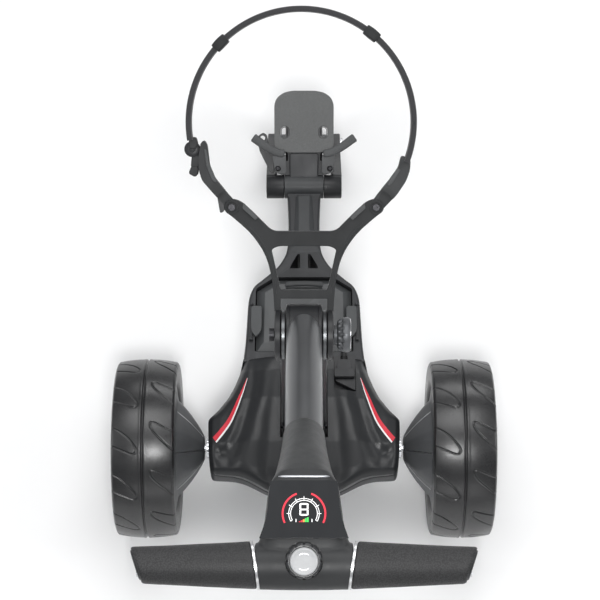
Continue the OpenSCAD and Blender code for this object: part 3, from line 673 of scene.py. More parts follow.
def rim_bmesh(side):
    """The hub's six-sided cone, the barrel and the outer spokes. side is 1 on the right."""
    bm = bmesh.new()
    # x is from the inner face of the tyre, outwards
    rings = [(-40.5, 5.4, 0), (-40.8, 15.5, 0), (-40.2, 18.6, 0.05), (-38.6, 22.8, 0.3), (-35.5, 29.5, 0.7),
             (-30, 39.5, 0.95), (-20, 55.0, 1), (-10, 68.0, 1), (-3, 76.0, 1), (0.6, 79.5, 0.9),
             (2.0, 82.0, 0.55), (3.0, 86.0, 0.2), (4.5, 92.0, 0), (5.2, 97.4, 0), (8, 98.3, 0),
             (47, 96.5, 0), (87, 98.3, 0), (90, 97.2, 0), (90.5, 94.5, 0), (88.5, 92.0, 0),
             (52, 90.0, 0), (20, 88.0, 0), (12, 84, 0), (4, 70, 0), (-8, 54, 0), (-30, 26, 0),
             (-34, 22, 0), (40, 22.5, 0), (62, 22.5, 0), (66.5, 21.5, 0), (66.5, 14.4, 0),
             (58, 14.4, 0), (58, 5.4, 0)]
    rows = []
    for x, r, share in rings:
        ring = wheel_ring(side * x, lambda t: hex_radius(r, t, share), 144)
        rows.append([bm.verts.new(p) for p in ring])
    rows.append(rows[0])
    join_rows(bm, rows)
    # five forked spokes between the hub and the barrel
    for k in range(5):
        for fork in (-1, 1):
            a = 2 * math.pi * k / 5 + math.radians(90)
            secs = []
            for r, off, w, x0, d in ((19, 2.5, 8.5, 57, 11), (30, 5.5, 7.5, 58, 10), (50, 11, 6.5, 63, 9),
                                     (72, 17, 7, 69, 9), (86, 21.5, 8.5, 73, 11), (93, 23.5, 10, 75, 13)):
                ring = []
                spoke = [(-w / 2, 0), (w / 2, 0), (w / 2 - 1, d), (-w / 2 + 1, d)]
                for u, v in round_corners(spoke, 2.2, 3):
                    tx, rad = fork * off + u, r
                    ring.append((side * (x0 - d / 2 + v) * MM,
                                 (rad * math.cos(a) - tx * math.sin(a)) * MM,
                                 (rad * math.sin(a) + tx * math.cos(a)) * MM))
                secs.append(ring)
            add_loft(bm, secs)
    return bm


tyre_data = tyre_mesh()
for side, word in ((1, "right"), (-1, "left")):
    at = Vector((side * WHEEL_X, AXLE_Y, TYRE_R * MM))
    body = "wheel_" + word
    ob = add_to_scene("tyre_shape_" + word, tyre_data)
    ob.location = at
    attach(ob, body)
    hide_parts("tyre_" + word)
    inner = Vector((side * TYRE_INNER_X, AXLE_Y, TYRE_R * MM))
    bm = put(rim_bmesh(side), Matrix.Translation(inner))
    rim = new_object("rim_shape_" + word, bm, "hub", body, ["rim_" + word], smooth=24)
    # the thin moulding seam along the cone, on each flat side
    seam = bmesh.new()
    for k in range(6):
        a = math.radians(116 + 60 * k)
        pts = [(x, hex_radius(r, a, share)) for x, r, share in
               ((-38.6, 22.8, 0.3), (-35.5, 29.5, 0.7), (-30, 39.5, 0.95), (-20, 55.0, 1), (-10, 68.0, 1),
                (-3, 76.0, 1), (0.4, 79.2, 0.95))]
        rings = []
        for x, r in pts:
            base = Vector((side * x * MM, r * math.cos(a) * MM, r * math.sin(a) * MM)) + inner
            out = Vector((0, math.cos(a), math.sin(a)))
            acr = Vector((0, -math.sin(a), math.cos(a)))
            rings.append([base + acr * 0.0009 - out * 0.001, base + out * 0.0006 + acr * 0.0005,
                          base + out * 0.0006 - acr * 0.0005, base - acr * 0.0009 - out * 0.001])
        add_loft(seam, rings)
    new_object("rim_seams_" + word, seam, "silver", body, smooth=60)
    # the release button, with a dished face and a finger ring
    prof = [(62, 6.2), (62, 13.0), (71.5, 13.0), (73.2, 12.2), (73.9, 11.0), (73.3, 9.6), (72.2, 8.8),
            (72.0, 5), (72.4, 2), (72.4, 0.05), (66, 0.05), (66, 6.2)]
    bm = lathe([(side * a, r) for a, r in prof], inner, "X", 64, closed=True)
    new_object("button_shape_" + word, bm, "red", "button_" + word, ["button_" + word])


# ---------------------------------------------------------------- chassis
PLAN = [(27, 404), (25.5, 372), (25, 340), (25.5, 318), (27.5, 303), (31, 292), (37, 281), (44, 272),
        (52, 264.5), (66, 252), (78, 241.5), (84.5, 229), (88, 213), (89.5, 185), (91, 155), (92.5, 135),
        (95, 114), (100, 88), (108, 66), (117, 47), (131, 28), (142, 17), (146.5, 11), (147, 0),
        (146.5, -22), (145, -50), (142.5, -66), (137, -73.5), (122, -76), (105, -78), (90, -82.5),
        (74, -91), (58, -100), (40, -107), (20, -111), (0, -111.5)]


def outline_half(y):
    """Half-width of the chassis at a place along it."""
    ys = [p[1] for p in PLAN][::-1]
    xs = [p[0] for p in PLAN][::-1]
    return float(np.interp(y, ys, xs))


def inset_ring(points, d):
    """Moves a closed outline inwards by d, point by point."""
    n = len(points)
    out = []
    area = sum(points[i][0] * points[(i + 1) % n][1] - points[(i + 1) % n][0] * points[i][1]
               for i in range(n))
    sign = 1 if area > 0 else -1
    for i in range(n):
        a, b = np.array(points[i - 1], float), np.array(points[(i + 1) % n], float)
        t = b - a
        ln = np.linalg.norm(t) or 1
        nrm = np.array([-t[1], t[0]]) / ln * sign
        out.append((points[i][0] + nrm[0] * d, points[i][1] + nrm[1] * d))
    return out


full = [(x, y) for x, y in PLAN if x > 0] + [(0, -111.5)] + [(-x, y) for x, y in PLAN[::-1] if x > 0]
full = smooth_line(full, 3)


def shell_bottom(y):
    """Height of the chassis shell's underside at a place along it."""
    ys = [-111.5, -92, -76, -64, -56, -52, -46, -38, -30, -20, 46, 88, 114, 205, 330, 404]
    zs = [207, 202, 197, 174, 157, 148.5, 131, 112, 97, 90.5, 90.5, 122, 158, 160, 178, 204]
    return float(np.interp(y, ys, zs))


def shell_top(y):
    """Height of the chassis shell's top at a place along it."""
    return float(np.interp(y, [-112, 112, 118, 262, 330, 404], [226, 226, 232, 232, 236, 234]))


rings = []
for share, d in ((0.0, 9), (0.02, 5), (0.05, 2.2), (0.10, 0.6), (0.3, 0), (0.62, 0), (0.86, 0),
                 (0.94, 0.7), (0.98, 2.2), (1.0, 4.6)):
    ring = inset_ring(full, d)
    rings.append([at_mm(x, y, shell_bottom(y) + share * (shell_top(y) - shell_bottom(y))) for x, y in ring])
shell = new_object("shell", loft(rings), "shell", "chassis", ["chassis_frame"], smooth=40)


def cut_prism(ob, points, z0, z1, radius=0):
    if radius:
        points = round_corners(points, radius, 4)
    boolean(ob, prism(points, z0, z1, FROM_AXLE))


WELL = mirrored([(46, 254.5), (76.2, 234.5), (77.2, 126.5)])
cut_prism(shell, WELL, 171, 260, 4)
cut_prism(shell, mirrored([(36, 129), (36, -24)]), 197, 260, 3)
for s in (1, -1):
    pocket = [(6.2, 269.5), (22.8, 269.5), (21, 275), (10.5, 294), (6.2, 294)]
    cut_prism(shell, on_side(pocket, s), 120, 260, 1.5)
round_edges(shell, 0.0012, 3, 40, smooth=40)


# the raised spine along the beam, with sloping sides
bm = bmesh.new()
rings = []
SPINE = [(399, 9, 12.5, 0.4), (396, 9.5, 13.5, 4.4), (372, 8.6, 14.5, 5.2), (345, 8.4, 15.4, 5.6),
         (325, 9.2, 17, 5.2), (310, 11.5, 20.5, 3.6), (300, 14, 25, 1.2), (296.5, 15, 26, -0.4)]
for y, top_w, low_w, rise in SPINE:
    z = shell_top(y)
    cut = [(-low_w, z - 3), (-low_w, z), (-top_w, z + rise), (top_w, z + rise), (low_w, z), (low_w, z - 3)]
    rings.append([at_mm(x, y, height) for x, height in cut])
add_loft(bm, rings)
spine = new_object("spine", bm, "tray", "chassis", smooth=25)
round_edges(spine, 0.0011, 3, 18, smooth=30)


def smooth_step(a, b, v):
    t = np.clip((v - a) / (b - a), 0, 1)
    return t * t * (3 - 2 * t)


COVER_EDGE = np.array([p for p in full if p[1] < 118])


def edge_distance(x, y):
    """How far a place on the cover is from its outer edge, in millimetres."""
    a, b = COVER_EDGE[:-1], COVER_EDGE[1:]
    d = b - a
    along = (x - a[:, 0]) * d[:, 0] + (y - a[:, 1]) * d[:, 1]
    t = np.clip(along / np.maximum((d ** 2).sum(1), 1e-9), 0, 1)
    return float(np.hypot(x - a[:, 0] - t * d[:, 0], y - a[:, 1] - t * d[:, 1]).min())


def cover_height(x, y):
    """Height of the drive housing's sculpted top, in millimetres."""
    ax = abs(x)
    wide = max(outline_half(max(y, -12.0)), 12.0)
    edge = edge_distance(x, y) if ax < outline_half(y) else 0.0
    base = float(np.interp(y, [-111.5, -104, -92, -70, -30, 40, 88, 108, 113, 115],
                           [240, 243, 247, 252.5, 258.5, 260.5, 254, 246.5, 243.5, 241]))
    side = 13.0 * smooth_step(0.42, 1.0, ax / wide) + 3.0 * smooth_step(0.85, 1.0, ax / wide)
    fade = smooth_step(112, 80, y) * smooth_step(1, 20, edge)

    def band(ys, xs, width, height):
        return height * math.exp(-((ax - float(np.interp(y, ys, xs))) / width) ** 2)

    shape = band([-100, -57, -19, 36, 84, 115], [104, 90, 76, 66, 66, 66], 18, 3.2)
    shape += band([-60, 5, 71], [56, 49, 43], 11, -2.0)
    shape += band([-53, -14, 40, 70], [112, 95, 80, 76], 11, -2.8) * smooth_step(-95, -50, y)
    shape += band([-38, -12, 28, 65], [121, 108, 95.5, 88], 8, 2.4) * smooth_step(-52, -28, y)
    shape += -4.5 * math.exp(-((ax - 127) / 9) ** 2 - ((y + 43) / 9) ** 2)
    z = base - side + shape * fade
    z -= 9.0 * (1 - min(1.0, max(edge, 0) / 9.0)) ** 2
    return max(z, 228.0)


PLUG_ROOM = (46, 80, 52, 118)


def cover_bmesh():
    """The cover's top and underside, on rows across it that are finer towards the rear and sides."""
    ys = np.unique(np.concatenate([np.linspace(-111.4, -60, 46), np.linspace(-58.6, 115, 90),
                                   [-24.6, -23.6, 114.2]]))
    inner = [0, 10, 20, 28, 33, 34.6, 35.8, 36.6]
    steps = 46
    bm = bmesh.new()
    top, low = [], []
    for y in ys:
        hw = outline_half(y) - 0.4
        xs = [min(v, hw * v / 60 if hw < 60 else v) for v in inner]
        x0 = xs[-1]
        xs = xs + [x0 + (hw - x0) * (k / steps) ** 0.9 for k in range(1, steps + 1)]
        xs = [-v for v in xs[::-1]] + xs[1:]
        row, under = [], []
        for x in xs:
            z = cover_height(x, y)
            if abs(x) < 35.9 and y > -24.2:
                z = 197.6
            row.append(bm.verts.new(at_mm(x, y, z)))
            drop = 0.8 if z < 200 else 2.6
            inset = x * (1 - 1.2 / max(abs(x), 60))
            under.append(bm.verts.new(at_mm(inset, y, max(z - drop, 196.8))))
        top.append(row)
        low.append(under)
    n = len(top[0])
    for a, b in zip(range(len(ys) - 1), range(1, len(ys))):
        for i in range(n - 1):
            bm.faces.new((top[a][i], top[a][i + 1], top[b][i + 1], top[b][i]))
            bm.faces.new((low[a][i], low[b][i], low[b][i + 1], low[a][i + 1]))
        for i in (0, n - 1):
            bm.faces.new((top[a][i], top[b][i], low[b][i], low[a][i]))
    for r in (0, len(ys) - 1):
        for i in range(n - 1):
            bm.faces.new((top[r][i], top[r][i + 1], low[r][i + 1], low[r][i]))
    return bm


cover = new_object("cover", cover_bmesh(), "cover", "chassis", ["housing_cover"], smooth=50)
x0, x1, y0, y1 = PLUG_ROOM
cut_prism(cover, rectangle(x0, x1, y0, y1), 237.6, 300, 3)
set_smooth(cover, 42)
plug_floor = round_corners(rectangle(x0 + .5, x1 - .5, y0 + .5, y1 - .5), 3, 4)
new_object("plug_floor", prism(plug_floor, 234, 238, FROM_AXLE), "black", "chassis")

# a skirt that closes the cover's edge down to the shell
edge = [(x, y) for x, y in full if y < 115.5]
bm = bmesh.new()
rows = []
for z_of in ("low", "mid", "top"):
    row = []
    for x, y in edge:
        zt = max(228.0, cover_height(math.copysign(max(abs(x) - 0.6, 0), x), y) - 0.6)
        z = {"low": 225.4, "mid": 227.2, "top": zt}[z_of]
        k = {"low": 0.9, "mid": 0.25, "top": 0.35}[z_of]
        row.append(bm.verts.new(at_mm(x - math.copysign(k, x) if abs(x) > 1 else x,
                                      y + (k if y < -60 else 0), z)))
    rows.append(row)
inner_rows = []
for row in rows:
    inner_rows.append([bm.verts.new((v.co.x * 0.975, AXLE_Y + (v.co.y - AXLE_Y) * 0.975, v.co.z))
                       for v in row])
for group in (rows, inner_rows[::-1], (rows[0], inner_rows[0]), (rows[-1], inner_rows[-1])):
    join_rows(bm, group, closed=False)
for e in (0, len(rows[0]) - 1):
    for k in range(2):
        bm.faces.new((rows[k][e], rows[k + 1][e], inner_rows[k + 1][e], inner_rows[k][e]))
new_object("cover_skirt", bm, "cover", "chassis", smooth=45)


# the red inlay and its white edge, laid on the cover's surface
def inlay(outer, inner, lift, mat, node_name):
    bm = bmesh.new()
    for s in (1, -1):
        a, b = smooth_line(outer, 10), smooth_line(inner, 10)
        rings = []
        for p, q in zip(a, b):
            pts = []
            for k in range(5):
                t = k / 4
                x, y = p[0] + (q[0] - p[0]) * t, p[1] + (q[1] - p[1]) * t
                pts.append(at_mm(s * x, y, cover_height(x, y) + lift))
            low = [(x, y, z - 0.0016) for x, y, z in pts[::-1]]
            rings.append(pts + low)
        add_loft(bm, rings)
    return new_object(node_name + "_shape", bm, mat, "chassis", [node_name], smooth=50)


RED_OUT = [(88, 76), (99.5, 47), (114.5, 11), (128, -8), (139, -20)]
RED_IN = [(87.4, 76), (96.3, 45), (109.6, 8), (122.4, -12), (134.6, -27)]
WHITE_IN = [(86.8, 76.5), (94.9, 44), (107.9, 6), (120.6, -14), (132.9, -29)]
inlay(RED_OUT, RED_IN, 0.35, "red", "stripe_red")
inlay(RED_IN, WHITE_IN, 0.45, "white", "stripe_white")

# ---------------------------------------------------------------- battery, latches, plug and lead
BATT_LOW = mirrored([(45, 253), (74.7, 233.2), (75.7, 128)])
BATT_TOP = mirrored([(38, 243), (61.5, 228.5), (63, 143)])
rings = []
for z, ring in ((172.5, BATT_LOW), (222.5, BATT_LOW), (231.2, BATT_TOP)):
    rings.append([at_mm(x, y, z) for x, y in ring])
batt = new_object("battery", loft(rings), "battery", "chassis", ["battery_case"], smooth=20)
cut_prism(batt, mirrored([(29, 237), (29, 229)]), 227.5, 260, 2)
round_edges(batt, 0.0009, 3, 20, smooth=30)
# the rounded lifting bar at the battery's front
bm = bmesh.new()
rings = []
for k in range(25):
    x = -30 + 60 * k / 24
    y = 243.5 - 1.5 * (x / 30) ** 2
    f = 1 if 0 < k < 24 else 0.8
    rings.append([at_mm(x, y + u * f, 230 + v * f) for u, v in superellipse(9.4, 8.2, 3.2, 24)])
add_loft(bm, rings)
new_object("battery_bar", bm, "tray", "chassis", smooth=50)
LATCH = [(66.0, 166), (68.3, 157), (75.3, 149.5), (81.3, 157), (83.4, 166), (83.2, 197),
         (82.2, 202.5), (68.0, 202.5), (66.2, 199)]
for s, word in ((1, "right"), (-1, "left")):
    bm = prism(on_side(round_corners(LATCH, 3.2, 4), s), 231.9, 238.2, FROM_AXLE)
    ob = new_object("latch_shape_" + word, bm, "latch", "latch_" + word, ["latch_" + word], smooth=30)
    round_edges(ob, 0.0019, 3, 30, smooth=30)

# the latches' hinge pins, and the lugs at their ends
bm = bmesh.new()
for s in (1, -1):
    add_lathe(bm, [(146, 0.1), (146, 1.6), (146.4, 2), (205.6, 2), (206, 1.6), (206, 0.1)],
              Vector((s * 0.083, AXLE_Y, 0.236)), "Y", 24)
new_object("latch_pin_shapes", bm, "black", "chassis", ["latch_pins"], smooth=50)
bm = bmesh.new()
for s in (1, -1):
    for y in (146.2, 205.6):
        add_lathe(bm, [(y - 1.7, 2.1), (y - 1.7, 3.2), (y + 1.7, 3.2), (y + 1.7, 2.1)],
                  Vector((s * 0.083, AXLE_Y, 0.236)), "Y", 24)
        add_prism(bm, rectangle(s * 80.4, s * 85.6, y - 1.6, y + 1.6)[::s],
                  229, 233.6, FROM_AXLE)
new_object("latch_lugs", bm, "shell", "chassis", smooth=40)

lead_pts = [(62, 134, 225.5), (62, 134, 233), (62, 132.6, 240), (62, 128, 245.6), (62, 117, 247.8),
            (62, 108, 248), (62, 100, 248)]
path = smooth_line(lead_pts, 5)
rings = []
for i, p in enumerate(path):
    q = np.array(path[min(i + 1, len(path) - 1)]) - np.array(path[max(i - 1, 0)])
    q = q / np.linalg.norm(q)
    side_v = np.array([1.0, 0, 0])
    up = np.cross(q, side_v)
    r = 4.0 + (0.5 if i < 5 else 0)
    rings.append([at_mm(*(np.array(p) + r * (math.cos(t) * side_v + math.sin(t) * up)))
                  for t in np.linspace(0, 2 * math.pi, 20, endpoint=False)])
new_object("lead", loft(rings), "jacket", "chassis", ["battery_lead"], smooth=60)
bm = bmesh.new()
for i in range(5):
    add_lathe(bm, [(0, 4.2), (0, 5.4), (1.6, 5.4), (1.6, 4.2)], at_mm(62, 98 + 3.2 * i, 248), "Y", 24)
new_object("lead_boot", bm, "jacket", "chassis")
bm = bmesh.new()
PLUG_STEPS = [([(51, 86), (73, 86), (73, 100), (69, 104), (55, 104), (51, 100)], 256.5),
              (rectangle(46.8, 77.2, 74, 87.5), 260),
              ([(49, 70), (79, 54.5), (79.4, 73.2), (48.2, 73.2)], 251)]
for outline, z in PLUG_STEPS:
    add_prism(bm, round_corners(outline, 2, 3), 238.2, z, FROM_AXLE)
plug = new_object("plug", bm, "black", "chassis", ["battery_plug"])
round_edges(plug, 0.0013, 3, 30, smooth=30)


# ---------------------------------------------------------------- upright and middle joint
def oval(w, d, count=14):
    """A flat-sided section with round ends, as x, y points in millimetres."""
    out = []
    for s in (1, -1):
        for k in range(count + 1):
            t = -math.pi / 2 + math.pi * k / count
            out.append((s * ((w - d) / 2 + d / 2 * math.cos(t)), s * d / 2 * math.sin(t)))
    return out


top = UP_LEN * 1000 - 52
bm = bmesh.new()
outer, inner_oval = oval(65, 32), oval(59, 26)
rows = add_loft(bm, [section(outer, 0.4, AT_UPRIGHT), section(outer, top, AT_UPRIGHT)], cap=False)
rows += add_loft(bm, [section(inner_oval, top, AT_UPRIGHT), section(inner_oval, 0.4, AT_UPRIGHT)],
                 cap=False)
join_rows(bm, rows[1:3])
join_rows(bm, [rows[3], rows[0]])
add_lathe(bm, [(-32.4, 5.2), (-32.4, 17), (-31.4, 18), (31.4, 18), (32.4, 17), (32.4, 5.2)],
          PIN, "X", 48)
new_object("upright_shape", bm, "upright", "upright", ["upright_tube"], smooth=40)

bm = bmesh.new()
add_prism(bm, round_corners(rectangle(-16, 16, -12.8, 12.8), 3, 3), top - 38, top + 6,
          AT_UPRIGHT)
rings = [section(oval(w, d), z, AT_UPRIGHT) for w, d, z in
         ((64.6, 31.6, top + 0.3), (66.6, 33.6, top + 1.6), (66.6, 33.6, top + 5), (64, 31, top + 7.6),
          (61.6, 29, top + 8.4))]
add_loft(bm, rings)
for s in (1, -1):
    add_prism(bm, round_corners(rectangle(s * 24.8, s * 30.2, -14, 14)[::s], 1, 2),
              top + 4, top + 34, AT_UPRIGHT)
    prof = [(24.4, 5.1), (24.4, 31.4), (25.6, 33), (29.4, 33), (30.6, 31.4), (30.6, 5.1)]
    add_lathe(bm, [(s * a, r) for a, r in prof + prof[:1]], M_AXIS, "X", 96)
new_object("yoke", bm, "cheek", "upright", ["joint_yoke"], smooth=40)

# the clamp knob: a fluted skirt and a bright-rimmed face
def flute(r, t, depth, n=16):
    """A radius with n rounded flutes cut into it."""
    return r - depth * (0.5 - 0.5 * math.cos(n * t))


bm = bmesh.new()
rings = []
for x, r, d in ((39.8, 13.6, 0), (43.6, 14, 0), (44.4, 18.2, 0), (45.4, 19.6, 0.5), (46.4, 21.2, 2.6),
                (49.5, 22.0, 2.8), (51.2, 22.4, 2.2), (52.0, 22.9, 0), (55.5, 23.4, 0), (58.6, 23.2, 0),
                (60.4, 22.4, 0), (61.6, 21.2, 0), (61.5, 19.9, 0), (60.5, 19.4, 0), (60.2, 12, 0),
                (60.5, 5.2, 0), (59.6, 4.8, 0)):
    ring = wheel_ring(x, lambda t: flute(r, t, d), 288)
    rings.append([p + M_AXIS for p in ring])
add_loft(bm, rings)
new_object("knob", bm, "knob", "clamp_knob", ["clamp_knob"], smooth=50)
bm = lathe([(60.6, 21.6), (61.9, 21.3), (62.1, 20.7), (61.7, 20.1), (60.6, 20.0)], M_AXIS, "X", 96,
           closed=True)
new_object("knob_rim", bm, "chrome", "clamp_knob", smooth=60)

# the barrel, with ribs at its ends
prof = [(-23.7, 21.2), (-23.7, 39.4), (-22.6, 40.8), (-21, 41), (-19.6, 41), (-19.2, 40.3), (-18.4, 40.3),
        (-18, 41), (18, 41), (18.4, 40.3), (19.2, 40.3), (19.6, 41), (21, 41), (22.6, 40.8), (23.7, 39.4),
        (23.7, 21.2)]
bm = lathe(prof, M_AXIS, "X", 128, closed=True)
new_object("barrel", bm, "black", "handle", ["tube_root"], smooth=40)
plug_bm = lathe([(18, 0.4), (18, 20.4), (70, 20.4), (70, 0.4)], ORIGIN, "Z", 48)
put(plug_bm, AT_TUBE @ Matrix.Translation((0, 0.022, 0.020)))
new_object("tube_plug", plug_bm, "black", "handle", smooth=40)

# ---------------------------------------------------------------- handle tube
TUBE_UP, TUBE_R, TUBE_END = 22.0, 23.2, 385.0
tube_mat = AT_TUBE @ Matrix.Translation((0, TUBE_UP * MM, 0))
bm = bmesh.new()
N = 96


def tube_start(x):
    """Where the tube's rounded lower end begins, for a place on its wall."""
    return 2 * TUBE_R - math.sqrt(max(TUBE_R ** 2 - x * x, 0))


def tube_rows(r, lift):
    rows = []
    for k in range(14):
        row = []
        for i in range(N):
            t = 2 * math.pi * i / N
            x, y = r * math.cos(t), r * math.sin(t)
            z0 = tube_start(min(max(x, -TUBE_R), TUBE_R)) + lift
            z = z0 + (TUBE_END - z0) * (k / 13) ** 1.4
            row.append(tube_mat @ Vector((x * MM, y * MM, z * MM)))
        rows.append(row)
    return rows


outer_rows = tube_rows(TUBE_R - 0.7, -0.1)[:1] + tube_rows(TUBE_R, 0.6)
inner_rows = tube_rows(TUBE_R - 2, -0.1)[::-1]
rows = add_loft(bm, outer_rows + inner_rows, cap=False)
join_rows(bm, [rows[-1], rows[0]])
tube = new_object("tube", bm, "tube", "handle", ["handle_tube"], smooth=40)
boolean(tube, lathe([(-26, 0.5), (-26, 41.15), (26, 41.15), (26, 0.5)], M_AXIS, "X", 128))
set_smooth(tube, 40)
# a dark end cap that closes the tube's rounded foot over the barrel
bm = bmesh.new()
cap_rings = []
for r, dz in ((TUBE_R - 2.2, 3.5), (TUBE_R - 2.2, 1.2), (TUBE_R - 6, -0.2), (0.6, -0.8)):
    cap_rings.append([tube_mat @ Vector((r * math.cos(2 * math.pi * i / N) * MM,
                                         r * math.sin(2 * math.pi * i / N) * MM,
                                         (tube_start(r * math.cos(2 * math.pi * i / N)) + dz) * MM))
                      for i in range(N)])
add_loft(bm, cap_rings)
foot = new_object("tube_foot", bm, "tube", "handle", smooth=50)
boolean(foot, lathe([(-26, 0.5), (-26, 41.1), (26, 41.1), (26, 0.5)], M_AXIS, "X", 96))
set_smooth(foot, 50)


# ---------------------------------------------------------------- head
# the bar's middle line, the silver rings' distance from the middle, and the slants of rings and grip ends
BAR_MM = (-428, 958)
RING_X = 54
RING_SLANT, END_SLANT = math.radians(9), math.radians(19)
# each station: the lower and upper point on the middle line, half-width, squareness
HEAD = [((-247.5, 813.5), (-216.5, 857), 24.9, 2.0), ((-257, 820), (-224.5, 866.5), 25.4, 2.05),
        ((-280, 835), (-241, 887), 26.6, 2.2), ((-312, 855.5), (-268, 920), 29.0, 2.5),
        ((-338, 872), (-297, 955), 32.2, 2.9), ((-355, 885), (-316, 977.5), 34.4, 3.4),
        ((-366, 896), (-328, 991), 36.2, 4.2), ((-372, 902), (-336, 994.6), 38.6, 5.2),
        ((-378, 907.5), (-345, 993.8), 40.4, 5.6), ((-386, 913.5), (-360, 992.1), 41.8, 5.8),
        ((-394, 918.5), (-378, 990), 43.6, 5.6), ((-401, 922.5), (-393, 988), 46.6, 5.2),
        ((-407, 925), (-404, 986.4), 50.0, 4.6), ((-412, 927.5), (-412, 985), 51.6, 4.0),
        ((-420, 932), (-421, 982), 52, 3.6)]
bm = bmesh.new()
rings = []
for low, high, half, power in HEAD:
    a, b = at_mm(0, *low), at_mm(0, *high)
    mid, up = (a + b) / 2, (b - a) / 2
    ring = []
    for x, v in superellipse(2, 2, power, 72):
        # the lower side narrows to a rounded keel
        pinch = 1 - 0.16 * max(0.0, -v) ** 1.5
        ring.append(mid + up * v + Vector((x * half * pinch * MM, 0, 0)))
    rings.append(ring)
add_loft(bm, rings)
head = new_object("head", bm, "head", "handle", ["head_shell"], smooth=60)
bm = bmesh.new()
rings = []
for x in (-54.0, -50, -44, -36, -24, -12, 0, 12, 24, 36, 44, 50, 54.0):
    grow = 1 + 0.035 * math.cos(min(1, abs(x) / RING_X) * math.pi / 2)
    ring = []
    for i in range(64):
        t = 2 * math.pi * i / 64
        r = 26.4 * grow
        ring.append(at_mm(x, BAR_MM[0] + r * math.cos(t) * (1.0 if math.cos(t) < 0 else 0.92),
                          BAR_MM[1] + r * math.sin(t)))
    rings.append(ring)
add_loft(bm, rings)
boolean(head, bm, "UNION")
remesh(head, 0.0011, 14, 0.6)
# the slanted ends that meet the silver rings, the dial's well, the screen's seat and the socket
for s in (1, -1):
    slant = Matrix.Translation(at_mm(s * RING_X, *BAR_MM)) @ Matrix.Rotation(-RING_SLANT * s, 4, "Z")
    x0, x1 = (-1.5, 40) if s > 0 else (-40, 1.5)
    boolean(head, put(prism(rectangle(x0, x1, -60, 60), -60, 60), slant))
dial_well = [(16.6, 0.5), (16.6, 20.9), (25.6, 20.9), (26.6, 21.6), (60, 21.8), (60, 0.5)]
boolean(head, put(lathe(dial_well, ORIGIN, "Z", 96), AT_DIAL))


def deck_outline(grow):
    """The screen's outline on the deck, following the head's sides."""
    y_top, y_low = 31.0, -33.5
    rows = [(y_top, 36.2), (y_top - 7, 37.6), (y_top - 20, 39.0), (0, 39.8), (-14, 42.2), (-24, 45.6),
            (y_low + 1, 48.6), (y_low, 49.0)]
    pts = [(w + grow, y) for y, w in rows] + [(-w - grow, y) for y, w in rows[::-1]]
    straight = [0.5] * (len(rows) - 2)
    return round_corners(pts, [5.5] + straight + [1.0, 1.0] + straight + [5.5], 6)


boolean(head, prism(deck_outline(0.25), -1.3, 20, AT_DECK))
at_socket = frame_matrix(at_mm(0, -370, 898), math.radians(90) + math.atan2(50, 44))
boolean(head, put(lathe([(-14, 0.3), (-14, 6), (30, 6), (30, 0.3)], ORIGIN, "Z", 32), at_socket))
set_smooth(head, 38)
glass = new_object("screen", prism(deck_outline(0), -1.2, 0.35, AT_DECK), "glass", "handle",
                   ["screen_glass"])
round_edges(glass, 0.0005, 3, 40, smooth=30)


def arc_band(r0, r1, a0, a1, cx, cy, steps=40):
    """An arc-shaped outline between two radii."""
    out = []
    for r, order in ((r1, range(steps + 1)), (r0, range(steps, -1, -1))):
        for k in order:
            t = math.radians(a0 + (a1 - a0) * k / steps)
            out.append((cx + r * math.cos(t), cy + r * math.sin(t)))
    return out


PRINT = (0.30, 0.50)
GAUGE_Y = -3.4
RING_Y = -6.2
bm = bmesh.new()
for a0, a1 in ((-26, 70), (110, 206)):
    add_prism(bm, arc_band(22.4, 24.4, a0, a1, 0, RING_Y), *PRINT, AT_DECK)
new_object("gauge_red", bm, "glow_red", "handle", smooth=30)
bm = bmesh.new()
for r in (14.3, 16.4):
    add_prism(bm, arc_band(r, r + 0.7, -30, 210, 0, RING_Y, 60), *PRINT, AT_DECK)
for k in range(9):
    t = -30 + 240 * k / 8
    tick = arc_band(15.0, 19.0 if k % 8 else 17, t - 1.1, t + 1.1, 0, RING_Y, 3)
    add_prism(bm, tick, 0.30, 0.47, AT_DECK)
for low, high in ((-5.2, -3.4), (0.9, 2.5), (7.0, 8.8)):
    stroke = round_corners(rectangle(-3.6, 3.6, GAUGE_Y + low, GAUGE_Y + high), 0.5, 2)
    add_prism(bm, stroke, *PRINT, AT_DECK)
for x0 in (-4.9, 3.1):
    for y0, y1 in ((GAUGE_Y - 4.7, GAUGE_Y + 1.5), (GAUGE_Y + 1.9, GAUGE_Y + 8.3)):
        add_prism(bm, round_corners(rectangle(x0, x0 + 1.8, y0, y1), 0.5, 2), 0.30, 0.49,
                  AT_DECK)
for s in (1, -1):
    add_prism(bm, rectangle(s * 9.2, s * 8.3, -15.6, -12.2)[::s], *PRINT, AT_DECK)
new_object("gauge_white", bm, "glow_white", "handle", smooth=30)
for k, shade in enumerate(("glow_red", "glow_red", "glow_orange", "glow_green", "glow_green")):
    bm = bmesh.new()
    x0 = -5.6 + 2.2 * k
    add_prism(bm, [(x0, -15.6), (x0 + 1.8, -15.6), (x0 + 1.8, -14.6 + 1.1 * k), (x0, -15.1 + 1.1 * k)],
              *PRINT, AT_DECK)
    new_object("gauge_bar_%d" % k, bm, shade, "handle", smooth=30)

# the chrome line across the head, a little bowed
bm = bmesh.new()
rings = []
for k in range(25):
    x = -28.5 + 57 * k / 24
    bow = 1.6 * (x / 28.5) ** 2
    end = 0.35 + 0.65 * min(1, (28.5 - abs(x)) / 4)
    rings.append([at_mm(x, -337.8 + 0.25 * bow + v * 1.5 * end, 995.0 - bow + w * 1.3 * end)
                  for v, w in superellipse(2, 2, 2, 10)])
add_loft(bm, rings)
new_object("chrome_line", bm, "zinc", "handle", ["chrome_trim"], smooth=60)

